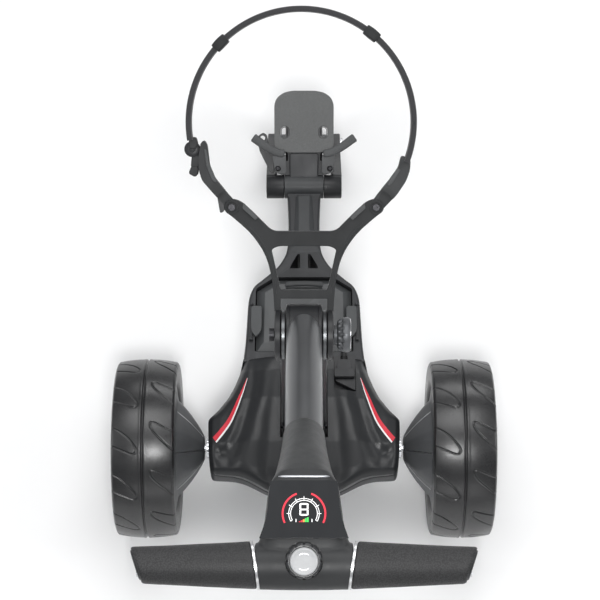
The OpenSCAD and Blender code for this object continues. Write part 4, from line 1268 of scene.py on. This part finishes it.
# ---------------------------------------------------------------- handlebar rings and grips
def bar_radius(x):
    """The grip's radius along the bar."""
    return float(np.interp(abs(x), [50, 60, 75, 110, 150, 190], [26.3, 26.0, 25.2, 23.6, 21.6, 20.0]))


bm = bmesh.new()
for s in (1, -1):
    rings = []
    for x, r in ((-1.5, 24.5), (-1.5, 26.4), (-1.1, 27.0), (1.5, 27.0), (1.9, 26.4), (1.9, 24.5)):
        ring = []
        for i in range(72):
            t = 2 * math.pi * i / 72
            y = r * math.cos(t)
            slide = x + y * math.tan(RING_SLANT)
            ring.append(at_mm(s * (RING_X + slide), BAR_MM[0] + y, BAR_MM[1] + r * math.sin(t)))
        rings.append(ring)
    add_loft(bm, rings + rings[:1], cap=False)
new_object("rings", bm, "silver", "handle", ["bar_rings"], smooth=50)

for s, word in ((1, "right"), (-1, "left")):
    bm = bmesh.new()
    rings = []
    xs = [56.1, 56.7, 58.4] + list(np.linspace(62, 177, 40)) + [181, 183.4, 184.8]
    for k, x in enumerate(xs):
        ring = []
        for i in range(96):
            t = 2 * math.pi * i / 96
            r = bar_radius(x)
            if k == 0 or k == len(xs) - 1:
                r -= 1.6
            elif k == 1 or k == len(xs) - 2:
                r -= 0.4
            # a flatter underside with finger waves
            under = max(0.0, -math.sin(t))
            r -= under ** 2 * 1.1 * (0.5 + 0.5 * math.cos((x - 66) / 28 * 2 * math.pi)) * (70 < x < 180)
            y = r * math.cos(t)
            start = 1 - smooth_step(55, 80, x)
            stop = smooth_step(155, 185, x)
            xx = x + start * y * math.tan(RING_SLANT) + stop * y * math.tan(END_SLANT)
            xx = min(xx, 200)
            ring.append(at_mm(s * xx, BAR_MM[0] + y, BAR_MM[1] + r * math.sin(t)))
        rings.append(ring)
    add_loft(bm, rings)
    new_object("grip_" + word, bm, "grip", "handle", ["grips"] if s > 0 else (), smooth=45)
# hard end plugs
bm = bmesh.new()
for s in (1, -1):
    rings = []
    for x, r in ((183, 16.5), (185.6, 16.5), (186.6, 15.5), (186.9, 12)):
        turns = [2 * math.pi * i / 48 for i in range(48)]
        rings.append([at_mm(s * (x + r * math.cos(t) * math.tan(END_SLANT)), BAR_MM[0] + r * math.cos(t),
                            BAR_MM[1] + r * math.sin(t)) for t in turns])
    add_loft(bm, rings)
new_object("grip_plugs", bm, "black", "handle", smooth=50)

# ---------------------------------------------------------------- speed dial
DIAL_N = 240
bm = bmesh.new()
rings = []


def dial_r(r, i, depth):
    """Twelve broad notches round the dial's edge."""
    t = 12 * 2 * math.pi * i / DIAL_N
    return r - depth * max(0.0, math.cos(t)) ** 3


for z, r, d in ((19, 18.6, 0), (19.6, 19.4, 0.6), (22, 20, 1.7), (28.5, 20, 1.8), (30.6, 19.2, 1.4),
                (31.6, 18.0, 0.4), (32, 17.2, 0), (31.9, 16.3, 0), (31.2, 16.0, 0), (24, 16.0, 0),
                (24, 5.2, 0), (10.5, 5.2, 0), (10.5, 4, 0), (19, 4.2, 0)):
    rings.append([Vector((dial_r(r, i, d) * math.cos(2 * math.pi * i / DIAL_N) * MM,
                          dial_r(r, i, d) * math.sin(2 * math.pi * i / DIAL_N) * MM, z * MM))
                  for i in range(DIAL_N)])
add_loft(bm, rings + rings[:1], cap=False)
put(bm, AT_DIAL)
new_object("dial", bm, "dial", "dial", ["dial_ring"], smooth=40)
cap_bm = lathe([(28.4, 0.2), (28.4, 15.4), (33.4, 15.4), (34.3, 15.0), (34.8, 14.2), (34.9, 13.2),
                (34.7, 12.6), (34.55, 8), (34.6, 3), (34.65, 0.2)], ORIGIN, "Z", 96)
new_object("dial_cap_shape", put(cap_bm, AT_DIAL), "silver_cap", "dial_button", ["dial_cap"], smooth=40)
bm = bmesh.new()
for first in (55, 235):
    add_prism(bm, arc_band(8.6, 9.3, first, first + 70, 0, 0, 20), 34.4, 34.85, AT_DIAL)
new_object("dial_marks", bm, "zinc", "dial_button", smooth=30)


# ---------------------------------------------------------------- bag frame
def poly_prism(points, z0, z1, matrix, radius):
    """A prism with its outline's corners rounded."""
    return prism(round_corners(points, radius, 6), z0, z1, matrix)


def link_pivot(s):
    """Where a bag link turns, in the bag frame's own plane."""
    return Vector((s * 0.095, 0.1695, 0))


FRAME_HALF = [(42, 137.8), (54, 150), (70, 166), (84, 178), (96, 181), (105, 175), (105, 165), (93, 156),
              (69, 135), (50, 107), (41.5, 73), (38.7, 27), (38.7, 12)]
half_r = [26, 20, 30, 8, 9, 9, 9, 14, 30, 40, 60, 30, 1]
outer = mirrored(FRAME_HALF)
bm = prism(round_corners(outer, half_r + half_r[::-1], 7), -8, 8, AT_FRAME)
bag = new_object("bag_frame_shape", bm, "frame", "bag_frame", ["bag_frame"], smooth=40)
boolean(bag, prism(rectangle(-30.9, 30.9, -10, 49), -20, 20, AT_FRAME))
window = round_corners([(-31, 60), (31, 60), (43, 114), (34, 118.5), (-34, 118.5), (-43, 114)],
                       [5, 5, 4, 12, 12, 4], 6)
boolean(bag, prism(window, -20, 20, AT_FRAME))
round_edges(bag, 0.0052, 5, 40, smooth=55)
for s in (1, -1):
    boolean(bag, put(lathe([(-5, 0.5), (-5, 17), (5, 17), (5, 0.5)], link_pivot(s), "Z", 64), AT_FRAME))
set_smooth(bag, 50)
bm = bmesh.new()
for s in (1, -1):
    prof = [(31, 5.1), (31, 33.4), (31.8, 34.5), (37.6, 34.5), (38.7, 33.2), (38.7, 27), (38.1, 26),
            (38.1, 12), (38.7, 11), (38.7, 5.1)]
    add_lathe(bm, [(s * a, r) for a, r in prof + prof[:1]], M_AXIS, "X", 96)
new_object("bag_frame_cheeks", bm, "black", "bag_frame", smooth=40)
bm = bmesh.new()
for s in (1, -1):
    mark = on_side([(33.4, 20), (36.6, 20), (36.8, 26), (33.6, 26)], s)
    add_prism(bm, round_corners(mark, 0.8, 3), 7.8, 8.35, AT_FRAME)
new_object("leg_marks", bm, "red", "bag_frame", smooth=30)
# a raised rib along each arm
bm = bmesh.new()
for s in (1, -1):
    line = smooth_line([(s * 36, 55), (s * 39.5, 80), (s * 47, 107), (s * 61, 131), (s * 78, 150)], 8)
    rings = []
    for i, (x, y) in enumerate(line):
        a, b = line[max(i - 1, 0)], line[min(i + 1, len(line) - 1)]
        t = Vector((b[0] - a[0], b[1] - a[1])).normalized()
        w = 1.5 * min(1, i / 4, (len(line) - 1 - i) / 4) + 0.2
        rings.append([AT_FRAME @ Vector(((x + u * -t.y) * MM, (y + u * t.x) * MM, (7.6 + v) * MM))
                      for u, v in ((-w, 0), (-w * 0.5, 0.9), (w * 0.5, 0.9), (w, 0))])
    add_loft(bm, rings)
new_object("bag_frame_ribs", bm, "frame", "bag_frame", smooth=50)
bm = bmesh.new()
for s in (1, -1):
    pts = on_side([(64, 153), (81, 168.5), (79.5, 176), (73.5, 170), (60, 157)], s)
    add_prism(bm, round_corners(pts, 1.6, 4), 7.5, 11, AT_FRAME)
pads = new_object("bag_pads", bm, "frame_pad", "bag_frame", ["bag_grips"], smooth=40)
round_edges(pads, 0.0011, 3, 40, smooth=40)
# pivot screws of the two links
bm = bmesh.new()
for s in (1, -1):
    prof = [(-8, 0.3), (-8, 3), (8, 3), (8, 5), (9.2, 5), (9.9, 4.3), (9.9, 2.4), (8.7, 2.1), (8.7, 0.3)]
    add_lathe(bm, prof, link_pivot(s), "Z", 48)
put(bm, AT_FRAME)
new_object("pivot_screws", bm, "dark_steel", "bag_frame", ["link_pins"], smooth=40)
bm = bmesh.new()
for s in (1, -1):
    add_lathe(bm, [(7.6, 9.6), (8.6, 9.6), (9.0, 9.0), (9.0, 7.4), (8.4, 6.8), (7.6, 6.8), (7.6, 9.6)],
              link_pivot(s), "Z", 64)
put(bm, AT_FRAME)
new_object("pivot_bosses", bm, "frame", "bag_frame", smooth=40)

# ---------------------------------------------------------------- swinging links
LINKS = {
    -1: [(-131, 258), (-135.5, 254), (-138.5, 236), (-138.5, 220), (-134, 205), (-121, 190), (-103, 170),
         (-97, 162), (-89, 166), (-90, 176), (-104, 192), (-117, 208), (-124, 225), (-127, 252)],
    1: [(140, 233), (128, 238), (124, 222), (112, 205), (97, 187), (89, 176), (88, 166), (96, 161),
        (103, 166), (122, 186), (134, 204), (139, 218)],
}
LINK_PADS = {
    -1: [(-127.6, 246), (-124.6, 227), (-117.6, 210), (-113.6, 205), (-116.6, 202), (-121, 206),
         (-128, 224), (-131, 246)],
    1: [(122.6, 221), (113.4, 207.5), (108.6, 200.5), (112, 198), (117, 203), (127, 219)],
}
for s, word in ((1, "right"), (-1, "left")):
    body = "link_" + word
    at = Matrix.Translation(link_pivot(s))
    ob = new_object("link_shape_" + word, poly_prism(LINKS[s], -10, 10, AT_FRAME, 4.5), "link", body,
                    ["link_" + word])
    # the two sides of the eye are cut back to the bore's thickness
    for low, high in ((4.7, 40), (-40, -4.7)):
        bore = lathe([(low, 0.4), (low, 24), (high, 24), (high, 0.4)], ORIGIN, "Z", 64)
        boolean(ob, put(bore, AT_FRAME @ at))
    round_edges(ob, 0.0026, 4, 35, smooth=45)
    eye = put(lathe([(-4.7, 3.2), (-4.7, 8.6), (-4.2, 9.1), (4.2, 9.1), (4.7, 8.6), (4.7, 3.2)],
                    ORIGIN, "Z", 48, closed=True), AT_FRAME @ at)
    new_object("link_eye_" + word, eye, "link", body, smooth=40)
    pad = new_object("link_pad_" + word, poly_prism(LINK_PADS[s], 9.2, 11.2, AT_FRAME, 1.6),
                     "frame_pad", body)
    round_edges(pad, 0.0008, 2, 40, smooth=40)

# ---------------------------------------------------------------- strap hoop
STRAP_X, STRAP_Q, STRAP_R, STRAP_T, STRAP_W = -3.6, 280.8, 151.4, 7.5, 26.0


def strap_band(start, turn, steps, grow=0.0):
    """A rounded webbing band along an arc of the hoop, with its length and width as UVs, in metres."""
    sec = round_corners([(-STRAP_T - grow, -STRAP_W / 2 - grow), (grow, -STRAP_W / 2 - grow),
                         (grow, STRAP_W / 2 + grow), (-STRAP_T - grow, STRAP_W / 2 + grow)], 2.6, 5)
    girth = [0.0]
    for a, b in zip(sec, sec[1:] + sec[:1]):
        girth.append(girth[-1] + math.hypot(b[0] - a[0], b[1] - a[1]))
    bm = bmesh.new()
    uv = bm.loops.layers.uv.new("UVMap")
    rows = []
    for k in range(steps + 1):
        t = math.radians(start + turn * k / steps)
        rows.append([bm.verts.new(AT_FRAME @ Vector(((STRAP_X + (STRAP_R + u) * math.cos(t)) * MM,
                                                     (STRAP_Q + (STRAP_R + u) * math.sin(t)) * MM, v * MM)))
                     for u, v in sec])
    n = len(sec)
    length = math.radians(turn) * STRAP_R * MM
    for k in range(steps):
        for i in range(n):
            j = (i + 1) % n
            f = bm.faces.new((rows[k][i], rows[k][j], rows[k + 1][j], rows[k + 1][i]))
            us = (k / steps, k / steps, (k + 1) / steps, (k + 1) / steps)
            vs = (girth[i], girth[i + 1], girth[i + 1], girth[i])
            for loop, u, v in zip(f.loops, us, vs):
                loop[uv].uv = ((math.radians(start) * STRAP_R * MM + u * length) % 10, v * MM)
    for row in (rows[0], rows[-1]):
        f = bm.faces.new(row)
        for loop, (u, v) in zip(f.loops, sec):
            loop[uv].uv = (u * MM, v * MM)
    return bm


new_object("strap", strap_band(-0.9, 177, 150), "strap", "bag_frame", ["strap_ring"], smooth=50)


for word, start, turn, held in (("left", 175, 14, 188), ("right", -20.6, 20.6, -16)):
    ob = new_object("strap_end_shape_" + word, strap_band(start, turn, 28), "strap", "bag_frame",
                    ["strap_end_" + word], smooth=50)
    world = ob.matrix_world.copy()
    ob.parent = None
    ob.matrix_world = world
    del ob["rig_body"]
    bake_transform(ob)
bm = bmesh.new()
for a in (51.4, 135.6):
    sec_in = round_corners(rectangle(-STRAP_T - .1, .1, -13.1, 13.1), 2.6, 4)
    rings = []
    for da, g in ((-4, 0.0), (-4, 1.8), (-3.5, 2.6), (-1, 3.0), (1, 3.0), (3.5, 2.6), (4, 1.8), (4, 0.0)):
        t = math.radians(a + da)
        ring = []
        for u, v in sec_in:
            cu = u + STRAP_T / 2
            uu = u + g * math.copysign(min(1, abs(cu) / 3.0), cu)
            vv = v + g * math.copysign(min(1, abs(v) / 9), v)
            ring.append(AT_FRAME @ Vector(((STRAP_X + (STRAP_R + uu) * math.cos(t)) * MM,
                                           (STRAP_Q + (STRAP_R + uu) * math.sin(t)) * MM, vv * MM)))
        rings.append(ring)
    add_loft(bm, rings + rings[:1], cap=False)
new_object("collars", bm, "frame", "bag_frame", ["strap_collars"], smooth=40)

# the hook that takes the strap's loose tail, with its ring, catch and tail
bm = bmesh.new()
HOOK_PARTS = [([(-151, 247), (-141.8, 246), (-139, 252), (-141.6, 262), (-151, 261)], 3, 10),
              ([(-149, 222), (-138.6, 222), (-137, 232), (-139, 243), (-147, 243)], 2.5, 4.4),
              ([(-152, 214), (-143, 209), (-138.6, 214), (-139, 224), (-148, 224)], 3, 6)]
for outline, radius, deep in HOOK_PARTS:
    add_prism(bm, round_corners(outline, radius, 4), -deep, deep, AT_FRAME)
hook = new_object("hook", bm, "link", "link_left", ["strap_hook"])
round_edges(hook, 0.0016, 3, 40, smooth=40)
bm = put(lathe([(-6, 3.2), (-6, 9.2), (-5, 10.4), (5, 10.4), (6, 9.2), (6, 3.2)], ORIGIN, "Z", 64,
               closed=True), AT_FRAME @ Matrix.Translation((-0.1468, 0.246, 0)))
stud = lathe([(6, 0.3), (6, 4.6), (8.2, 4.6), (9, 3.6), (9, 0.3)], ORIGIN, "Z", 40)
put(stud, AT_FRAME @ Matrix.Translation((-0.1468, 0.246, 0)))
new_object("hook_ring", bm, "black", "link_left", smooth=40)
new_object("hook_stud", stud, "link", "link_left", smooth=40)
tail = prism(round_corners([(-117, 196), (-101, 174), (-106, 163), (-111, 161)], [3, 3, 3, 3], 4), -12, -6.5,
             AT_FRAME)
new_object("strap_tail", tail, "black", "link_left", smooth=30)

# ---------------------------------------------------------------- bag base
PAD_HALF = [(20, 53.5), (34, 50), (44, 42), (48, 32), (48, -34), (44, -42), (26, -46)]
pad_outline = mirrored(PAD_HALF)
pad_r = [20, 12, 10, 14, 8, 6, 3]
bm = prism(round_corners(pad_outline, pad_r + pad_r[::-1], 7), -8, 0, AT_PAD)
base = new_object("base_shape", bm, "pad", "chassis", ["base_pad"])


def slot_outline(s, radius):
    """A round-ended slot beside the middle of the bag base."""
    turns = [2 * math.pi * (k + 0.5) / 40 for k in range(40)]
    return [(s * 31 + radius * math.cos(t), -13.5 + (2.5 if math.sin(t) > 0 else -2.5) + radius * math.sin(t))
            for t in turns]


def screw_place(s):
    """Where a screw holds the bag base, on the base's own plane."""
    return Vector((s * 0.042, -0.072, 0))


for s in (1, -1):
    boolean(base, prism(slot_outline(s, 8), -9, 2, AT_PAD))
round_edges(base, 0.0014, 3, 40, smooth=40)
# black rings that line the bag base's slots: painted shade, standing in for the shade down inside the slots
bm = bmesh.new()
for s in (1, -1):
    for a, b in ((8.0, 6.9), (6.4, 5.2)):
        z1, z0 = (-0.4, -7.6) if a > 7 else (-3, -7.6)
        rows = [section(slot_outline(s, r), z, AT_PAD) for r, z in ((a, z0), (a, z1), (b, z1), (b, z0))]
        add_loft(bm, rows + rows[:1], cap=False)
new_object("base_slots", bm, "black", "chassis", smooth=40)
neck = [(26, -38), (26, -60), (48.6, -64), (48.6, -78), (30, -84), (27, -99)]
rails = bmesh.new()
for s in (1, -1):
    add_prism(rails, rectangle(s * 20, s * 25, -37, 44)[::s], -15, -6, AT_PAD)
new_object("base_rails", rails, "shell", "chassis")
neck_top = new_object("base_neck_top", prism(round_corners([(-23, -90), (23, -90), (24, -47), (-24, -47)],
                                                           [3, 3, 5, 5], 5), -12, -1.2, AT_PAD), "shell",
                      "chassis")
round_edges(neck_top, 0.003, 4, 40, smooth=40)
under = new_object("base_neck", prism(round_corners(mirrored(neck), 2, 3), -16, -5, AT_PAD), "shell",
                   "chassis")
boolean(under, lathe([(-62, 0.5), (-62, 19.6), (62, 19.6), (62, 0.5)], joint_place("fork_fold"), "X", 96))
for s in (1, -1):
    boolean(under, put(lathe([(-17, 0.3), (-17, 2.6), (0, 2.6), (0, 0.3)], screw_place(s), "Z", 32), AT_PAD))
round_edges(under, 0.0012, 2, 45, smooth=40)

# the two soft-topped wings that cradle the bag
bm = bmesh.new()
for s in (1, -1):
    line = smooth_line([(31, -48), (42, -46.5), (54, -41), (66, -33.5), (76, -26), (82.5, -21.5)], 5)
    rings = []
    for i, (x, y) in enumerate(line):
        a, b = line[max(i - 1, 0)], line[min(i + 1, len(line) - 1)]
        t = Vector((b[0] - a[0], b[1] - a[1])).normalized()
        f = i / (len(line) - 1)
        w, h = 6.2 + 1.0 * f, 5.4
        if i in (0, len(line) - 1):
            w, h = w * 0.72, h * 0.72
        rings.append([AT_PAD @ Vector((s * (x + u * -t.y) * MM, (y + u * t.x) * MM, (1.4 + v) * MM))
                      for u, v in superellipse(2 * w, 2 * h, 3.0, 32)])
    add_loft(bm, rings)
new_object("wings", bm, "soft", "chassis", ["base_wings"], smooth=55)
bm = bmesh.new()
for s in (1, -1):
    plate = [(29, -80), (40, -80), (47, -77), (49, -62), (52, -53), (44, -46), (29, -50)]
    add_prism(bm, round_corners(on_side(plate, s), 4, 4), -4.8, 4, AT_PAD)
plates = new_object("wing_plates", bm, "tray", "chassis")
for s in (1, -1):
    hole = [(-10, 0.3), (-10, 2.6), (2.2, 2.6), (2.2, 4.7), (10, 4.7), (10, 0.3)]
    boolean(plates, put(lathe(hole, screw_place(s), "Z", 48), AT_PAD))
round_edges(plates, 0.001, 2, 45, smooth=40)
bm = bmesh.new()
for s in (1, -1):
    add_lathe(bm, [(-15.8, 0.2), (-15.8, 2.4), (2.4, 2.4), (2.4, 4.3), (5.2, 4.3), (6.6, 3.2), (6.8, 2.3),
                   (5.4, 2.1), (5.2, 0.2)], screw_place(s), "Z", 40)
put(bm, AT_PAD)
new_object("screws", bm, "dark_steel", "chassis", ["base_screws"], smooth=40)
bracket = new_object("bracket", poly_prism([(-49, -80), (-54, -80), (-72, -44), (-75, -28), (-73, -18),
                                            (-66, -14), (-60, -18), (-58, -28), (-50, -46), (-49, -60)],
                                           -9, -5, AT_PAD, 2.5), "black", "chassis", ["strap_bracket"])
bracket_hole = lathe([(-12, 0.3), (-12, 4), (0, 4), (0, 0.3)], Vector((-0.067, -0.023, 0)), "Z", 40)
boolean(bracket, put(bracket_hole, AT_PAD))
round_edges(bracket, 0.0008, 2, 45, smooth=40)

# ---------------------------------------------------------------- front fork and wheel
HINGE = joint_place("fork_fold")
FRONT = joint_place("front_wheel_spin")
barrel_line = [(-31.6, 6.2), (-31.6, 18.4), (-31, 19), (31, 19), (31.6, 18.4), (31.6, 6.2)]
new_object("front_barrel", lathe(barrel_line, HINGE, "X", 96, closed=True), "tray", "chassis", smooth=40)
bm = bmesh.new()
for s in (1, -1):
    add_lathe(bm, [(s * a, r) for a, r in [(32, 6.1), (32, 18), (33, 19), (59.4, 19), (60.6, 18.2), (61, 17),
                                          (61, 13), (60.2, 12.4), (60.2, 6.1), (32, 6.1)]], HINGE, "X", 96)
fork = new_object("fork_hinge", bm, "black", "fork", ["front_fork"], smooth=40)
ARM = [(409, 206), (432, 238), (500, 172), (590, 98), (586, 74), (560, 78), (484, 148)]
for s in (1, -1):
    pts = [(z, -y) for y, z in ARM]
    side = FROM_AXLE @ Matrix(((0, 0, 1, 0), (0, -1, 0, 0), (1, 0, 0, 0), (0, 0, 0, 1)))
    x0, x1 = (45, 61) if s > 0 else (-61, -45)
    arm = new_object("fork_arm_%d" % s, prism(round_corners(pts, 9, 6), x0, x1, side), "black", "fork")
    boolean(arm, lathe([(-70, 0.5), (-70, 18.6), (70, 18.6), (70, 0.5)], HINGE, "X", 64))
    round_edges(arm, 0.003, 4, 40, smooth=45)
bm = bmesh.new()
for s in (1, -1):
    boss = [(42, 5.1), (42, 16), (43, 17), (60.6, 17), (61.6, 15.6), (61.6, 5.1), (42, 5.1)]
    add_lathe(bm, [(s * a, r) for a, r in boss], FRONT, "X", 64)
new_object("fork_bosses", bm, "black", "fork", smooth=40)
spin = [(5.1, -8), (15, -8), (16.4, -6.6), (17, 26.4), (20, 27.6), (52, 27.6), (55.5, 25),
        (57, 5.5), (58, 4.8), (62, 5.2)]
prof = [(x - 31, r) for r, x in spin] + [(31 - x, r) for r, x in spin[::-1]]
rim = new_object("front_rim_shape", lathe(prof, FRONT, "X", 120, closed=True), "hub", "front_wheel",
                 ["front_rim"], smooth=35)
for k in range(6):
    a = math.radians(60 * k)
    hole_at = FRONT + Vector((0, math.cos(a), math.sin(a))) * 0.037
    boolean(rim, lathe([(-40, 0.4), (-40, 11), (40, 11), (40, 0.4)], hole_at, "X", 48))
round_edges(rim, 0.0008, 2, 50, smooth=38)
half = [(25.6, 62.2), (28.6, 66), (30.2, 70), (31, 78), (30.2, 82), (28, 84.6), (21, 87.7), (11, 89.5)]
prof = [(-a, r) for a, r in half] + [(-2.2, 90), (-1.2, 88), (1.2, 88), (2.2, 90)] + half[::-1]
new_object("front_tyre_shape", lathe(prof, FRONT, "X", 180, closed=True), "tyre", "front_wheel",
           ["front_tyre"], smooth=32)
bm = bmesh.new()
for k in range(30):
    a = 2 * math.pi * k / 30
    for s in (1, -1):
        c = FRONT + Vector((0, math.cos(a), math.sin(a))) * 0.0885
        t = Vector((0, -math.sin(a), math.cos(a)))
        o = Vector((0, math.cos(a), math.sin(a)))
        rings = []
        for f in (0, 0.25, 0.5, 0.75, 1):
            x = s * (6 + 15 * f)
            drop = 0.0002 + 0.0012 * f * f
            p = c + Vector((x * MM, 0, 0)) + t * (0.0045 * f) - o * drop
            rings.append([p - t * 0.0016 - o * 0.002, p - t * 0.0011 + o * 0.0013,
                          p + t * 0.0011 + o * 0.0013, p + t * 0.0016 - o * 0.002])
        add_loft(bm, rings)
new_object("front_treads", bm, "tyre", "front_wheel", smooth=40)

# ---------------------------------------------------------------- the modelled parts that stay as they are
bm = bmesh.new()
add_prism(bm, rectangle(-112, -52, -52, 44), 150, 151.6, FROM_AXLE)
add_prism(bm, rectangle(-104, -84, -44, 0), 151.6, 166, FROM_AXLE)
for y in range(-40, 25, 16):
    add_prism(bm, rectangle(-74, -60, y, y + 10), 151.6, 156, FROM_AXLE)
for y in (10, 24, 38):
    add_lathe(bm, [(151.6, 0.2), (151.6, 6), (169.6, 6), (169.6, 0.2)], at_mm(-98, y, 0), "Z", 32)
for x in (-108, -56):
    for y in (-40, 38):
        add_lathe(bm, [(125, 0.2), (125, 3), (150, 3), (150, 0.2)], at_mm(x, y, 0), "Z", 20)
new_object("controller", bm, "board", "chassis", ["controller_board"], smooth=35)
KEPT = {
    "battery_cells": "cells", "motor_can": "zinc", "motor_rotor": "steel",
    "gearbox_case": "zinc", "drive_axle": "steel", "axle_gear": "brass", "axle_bearings": "steel",
    "fork_hinge_pin": "dark_steel", "front_axle": "steel", "upright_pin": "dark_steel",
    "joint_bolt": "dark_steel", "hinge_hub": "zinc", "display_board": "board", "bar_core": "steel",
}
for node_name, shade in KEPT.items():
    ob = bpy.data.objects.get(node_name)
    ob.data.materials.clear()
    ob.data.materials.append(MAT[shade])

# ---------------------------------------------------------------- floor, light and finish
floor_bm = bmesh.new()
bmesh.ops.create_grid(floor_bm, x_segments=8, y_segments=8, size=6)
floor_mesh = bpy.data.meshes.new("floor")
floor_bm.to_mesh(floor_mesh)
floor_bm.free()
floor_mesh.materials.append(MAT["floor"])
floor = add_to_scene("floor", floor_mesh)
floor.location = (0, 0, -0.0004)


def area_light(name, at, aim, size, power, tint=(1, 1, 1)):
    data = bpy.data.lights.new(name, "AREA")
    data.shape = "RECTANGLE"
    data.size, data.size_y = size
    data.energy = power
    data.color = tint
    ob = add_to_scene(name, data)
    ob.location = at
    ob.rotation_euler = (Vector(aim) - Vector(at)).to_track_quat("-Z", "Y").to_euler()


area_light("key", (0.05, -1.5, 3.2), (0, -0.05, 0.3), (0.5, 0.42), 46)
area_light("top", (0, 0.9, 3.2), (0, 0.1, 0.3), (2.2, 1.4), 40)
area_light("left", (-2.6, -0.4, 1.9), (0, 0, 0.3), (1.0, 1.8), 18)
area_light("right", (2.6, -0.2, 1.9), (0, 0, 0.3), (1.0, 1.8), 22)
area_light("front", (0.2, -3.0, 1.0), (0, 0, 0.4), (2.2, 0.6), 9)
area_light("back", (0.4, 2.9, 1.8), (0, 0, 0.4), (2.2, 0.8), 22)
world = bpy.context.scene.world or bpy.data.worlds.new("world")
bpy.context.scene.world = world
world.use_nodes = True
world.node_tree.nodes["Background"].inputs[0].default_value = (0.95, 0.97, 1.0, 1)
world.node_tree.nodes["Background"].inputs[1].default_value = 0.27
bpy.context.scene.view_settings.view_transform = "Standard"
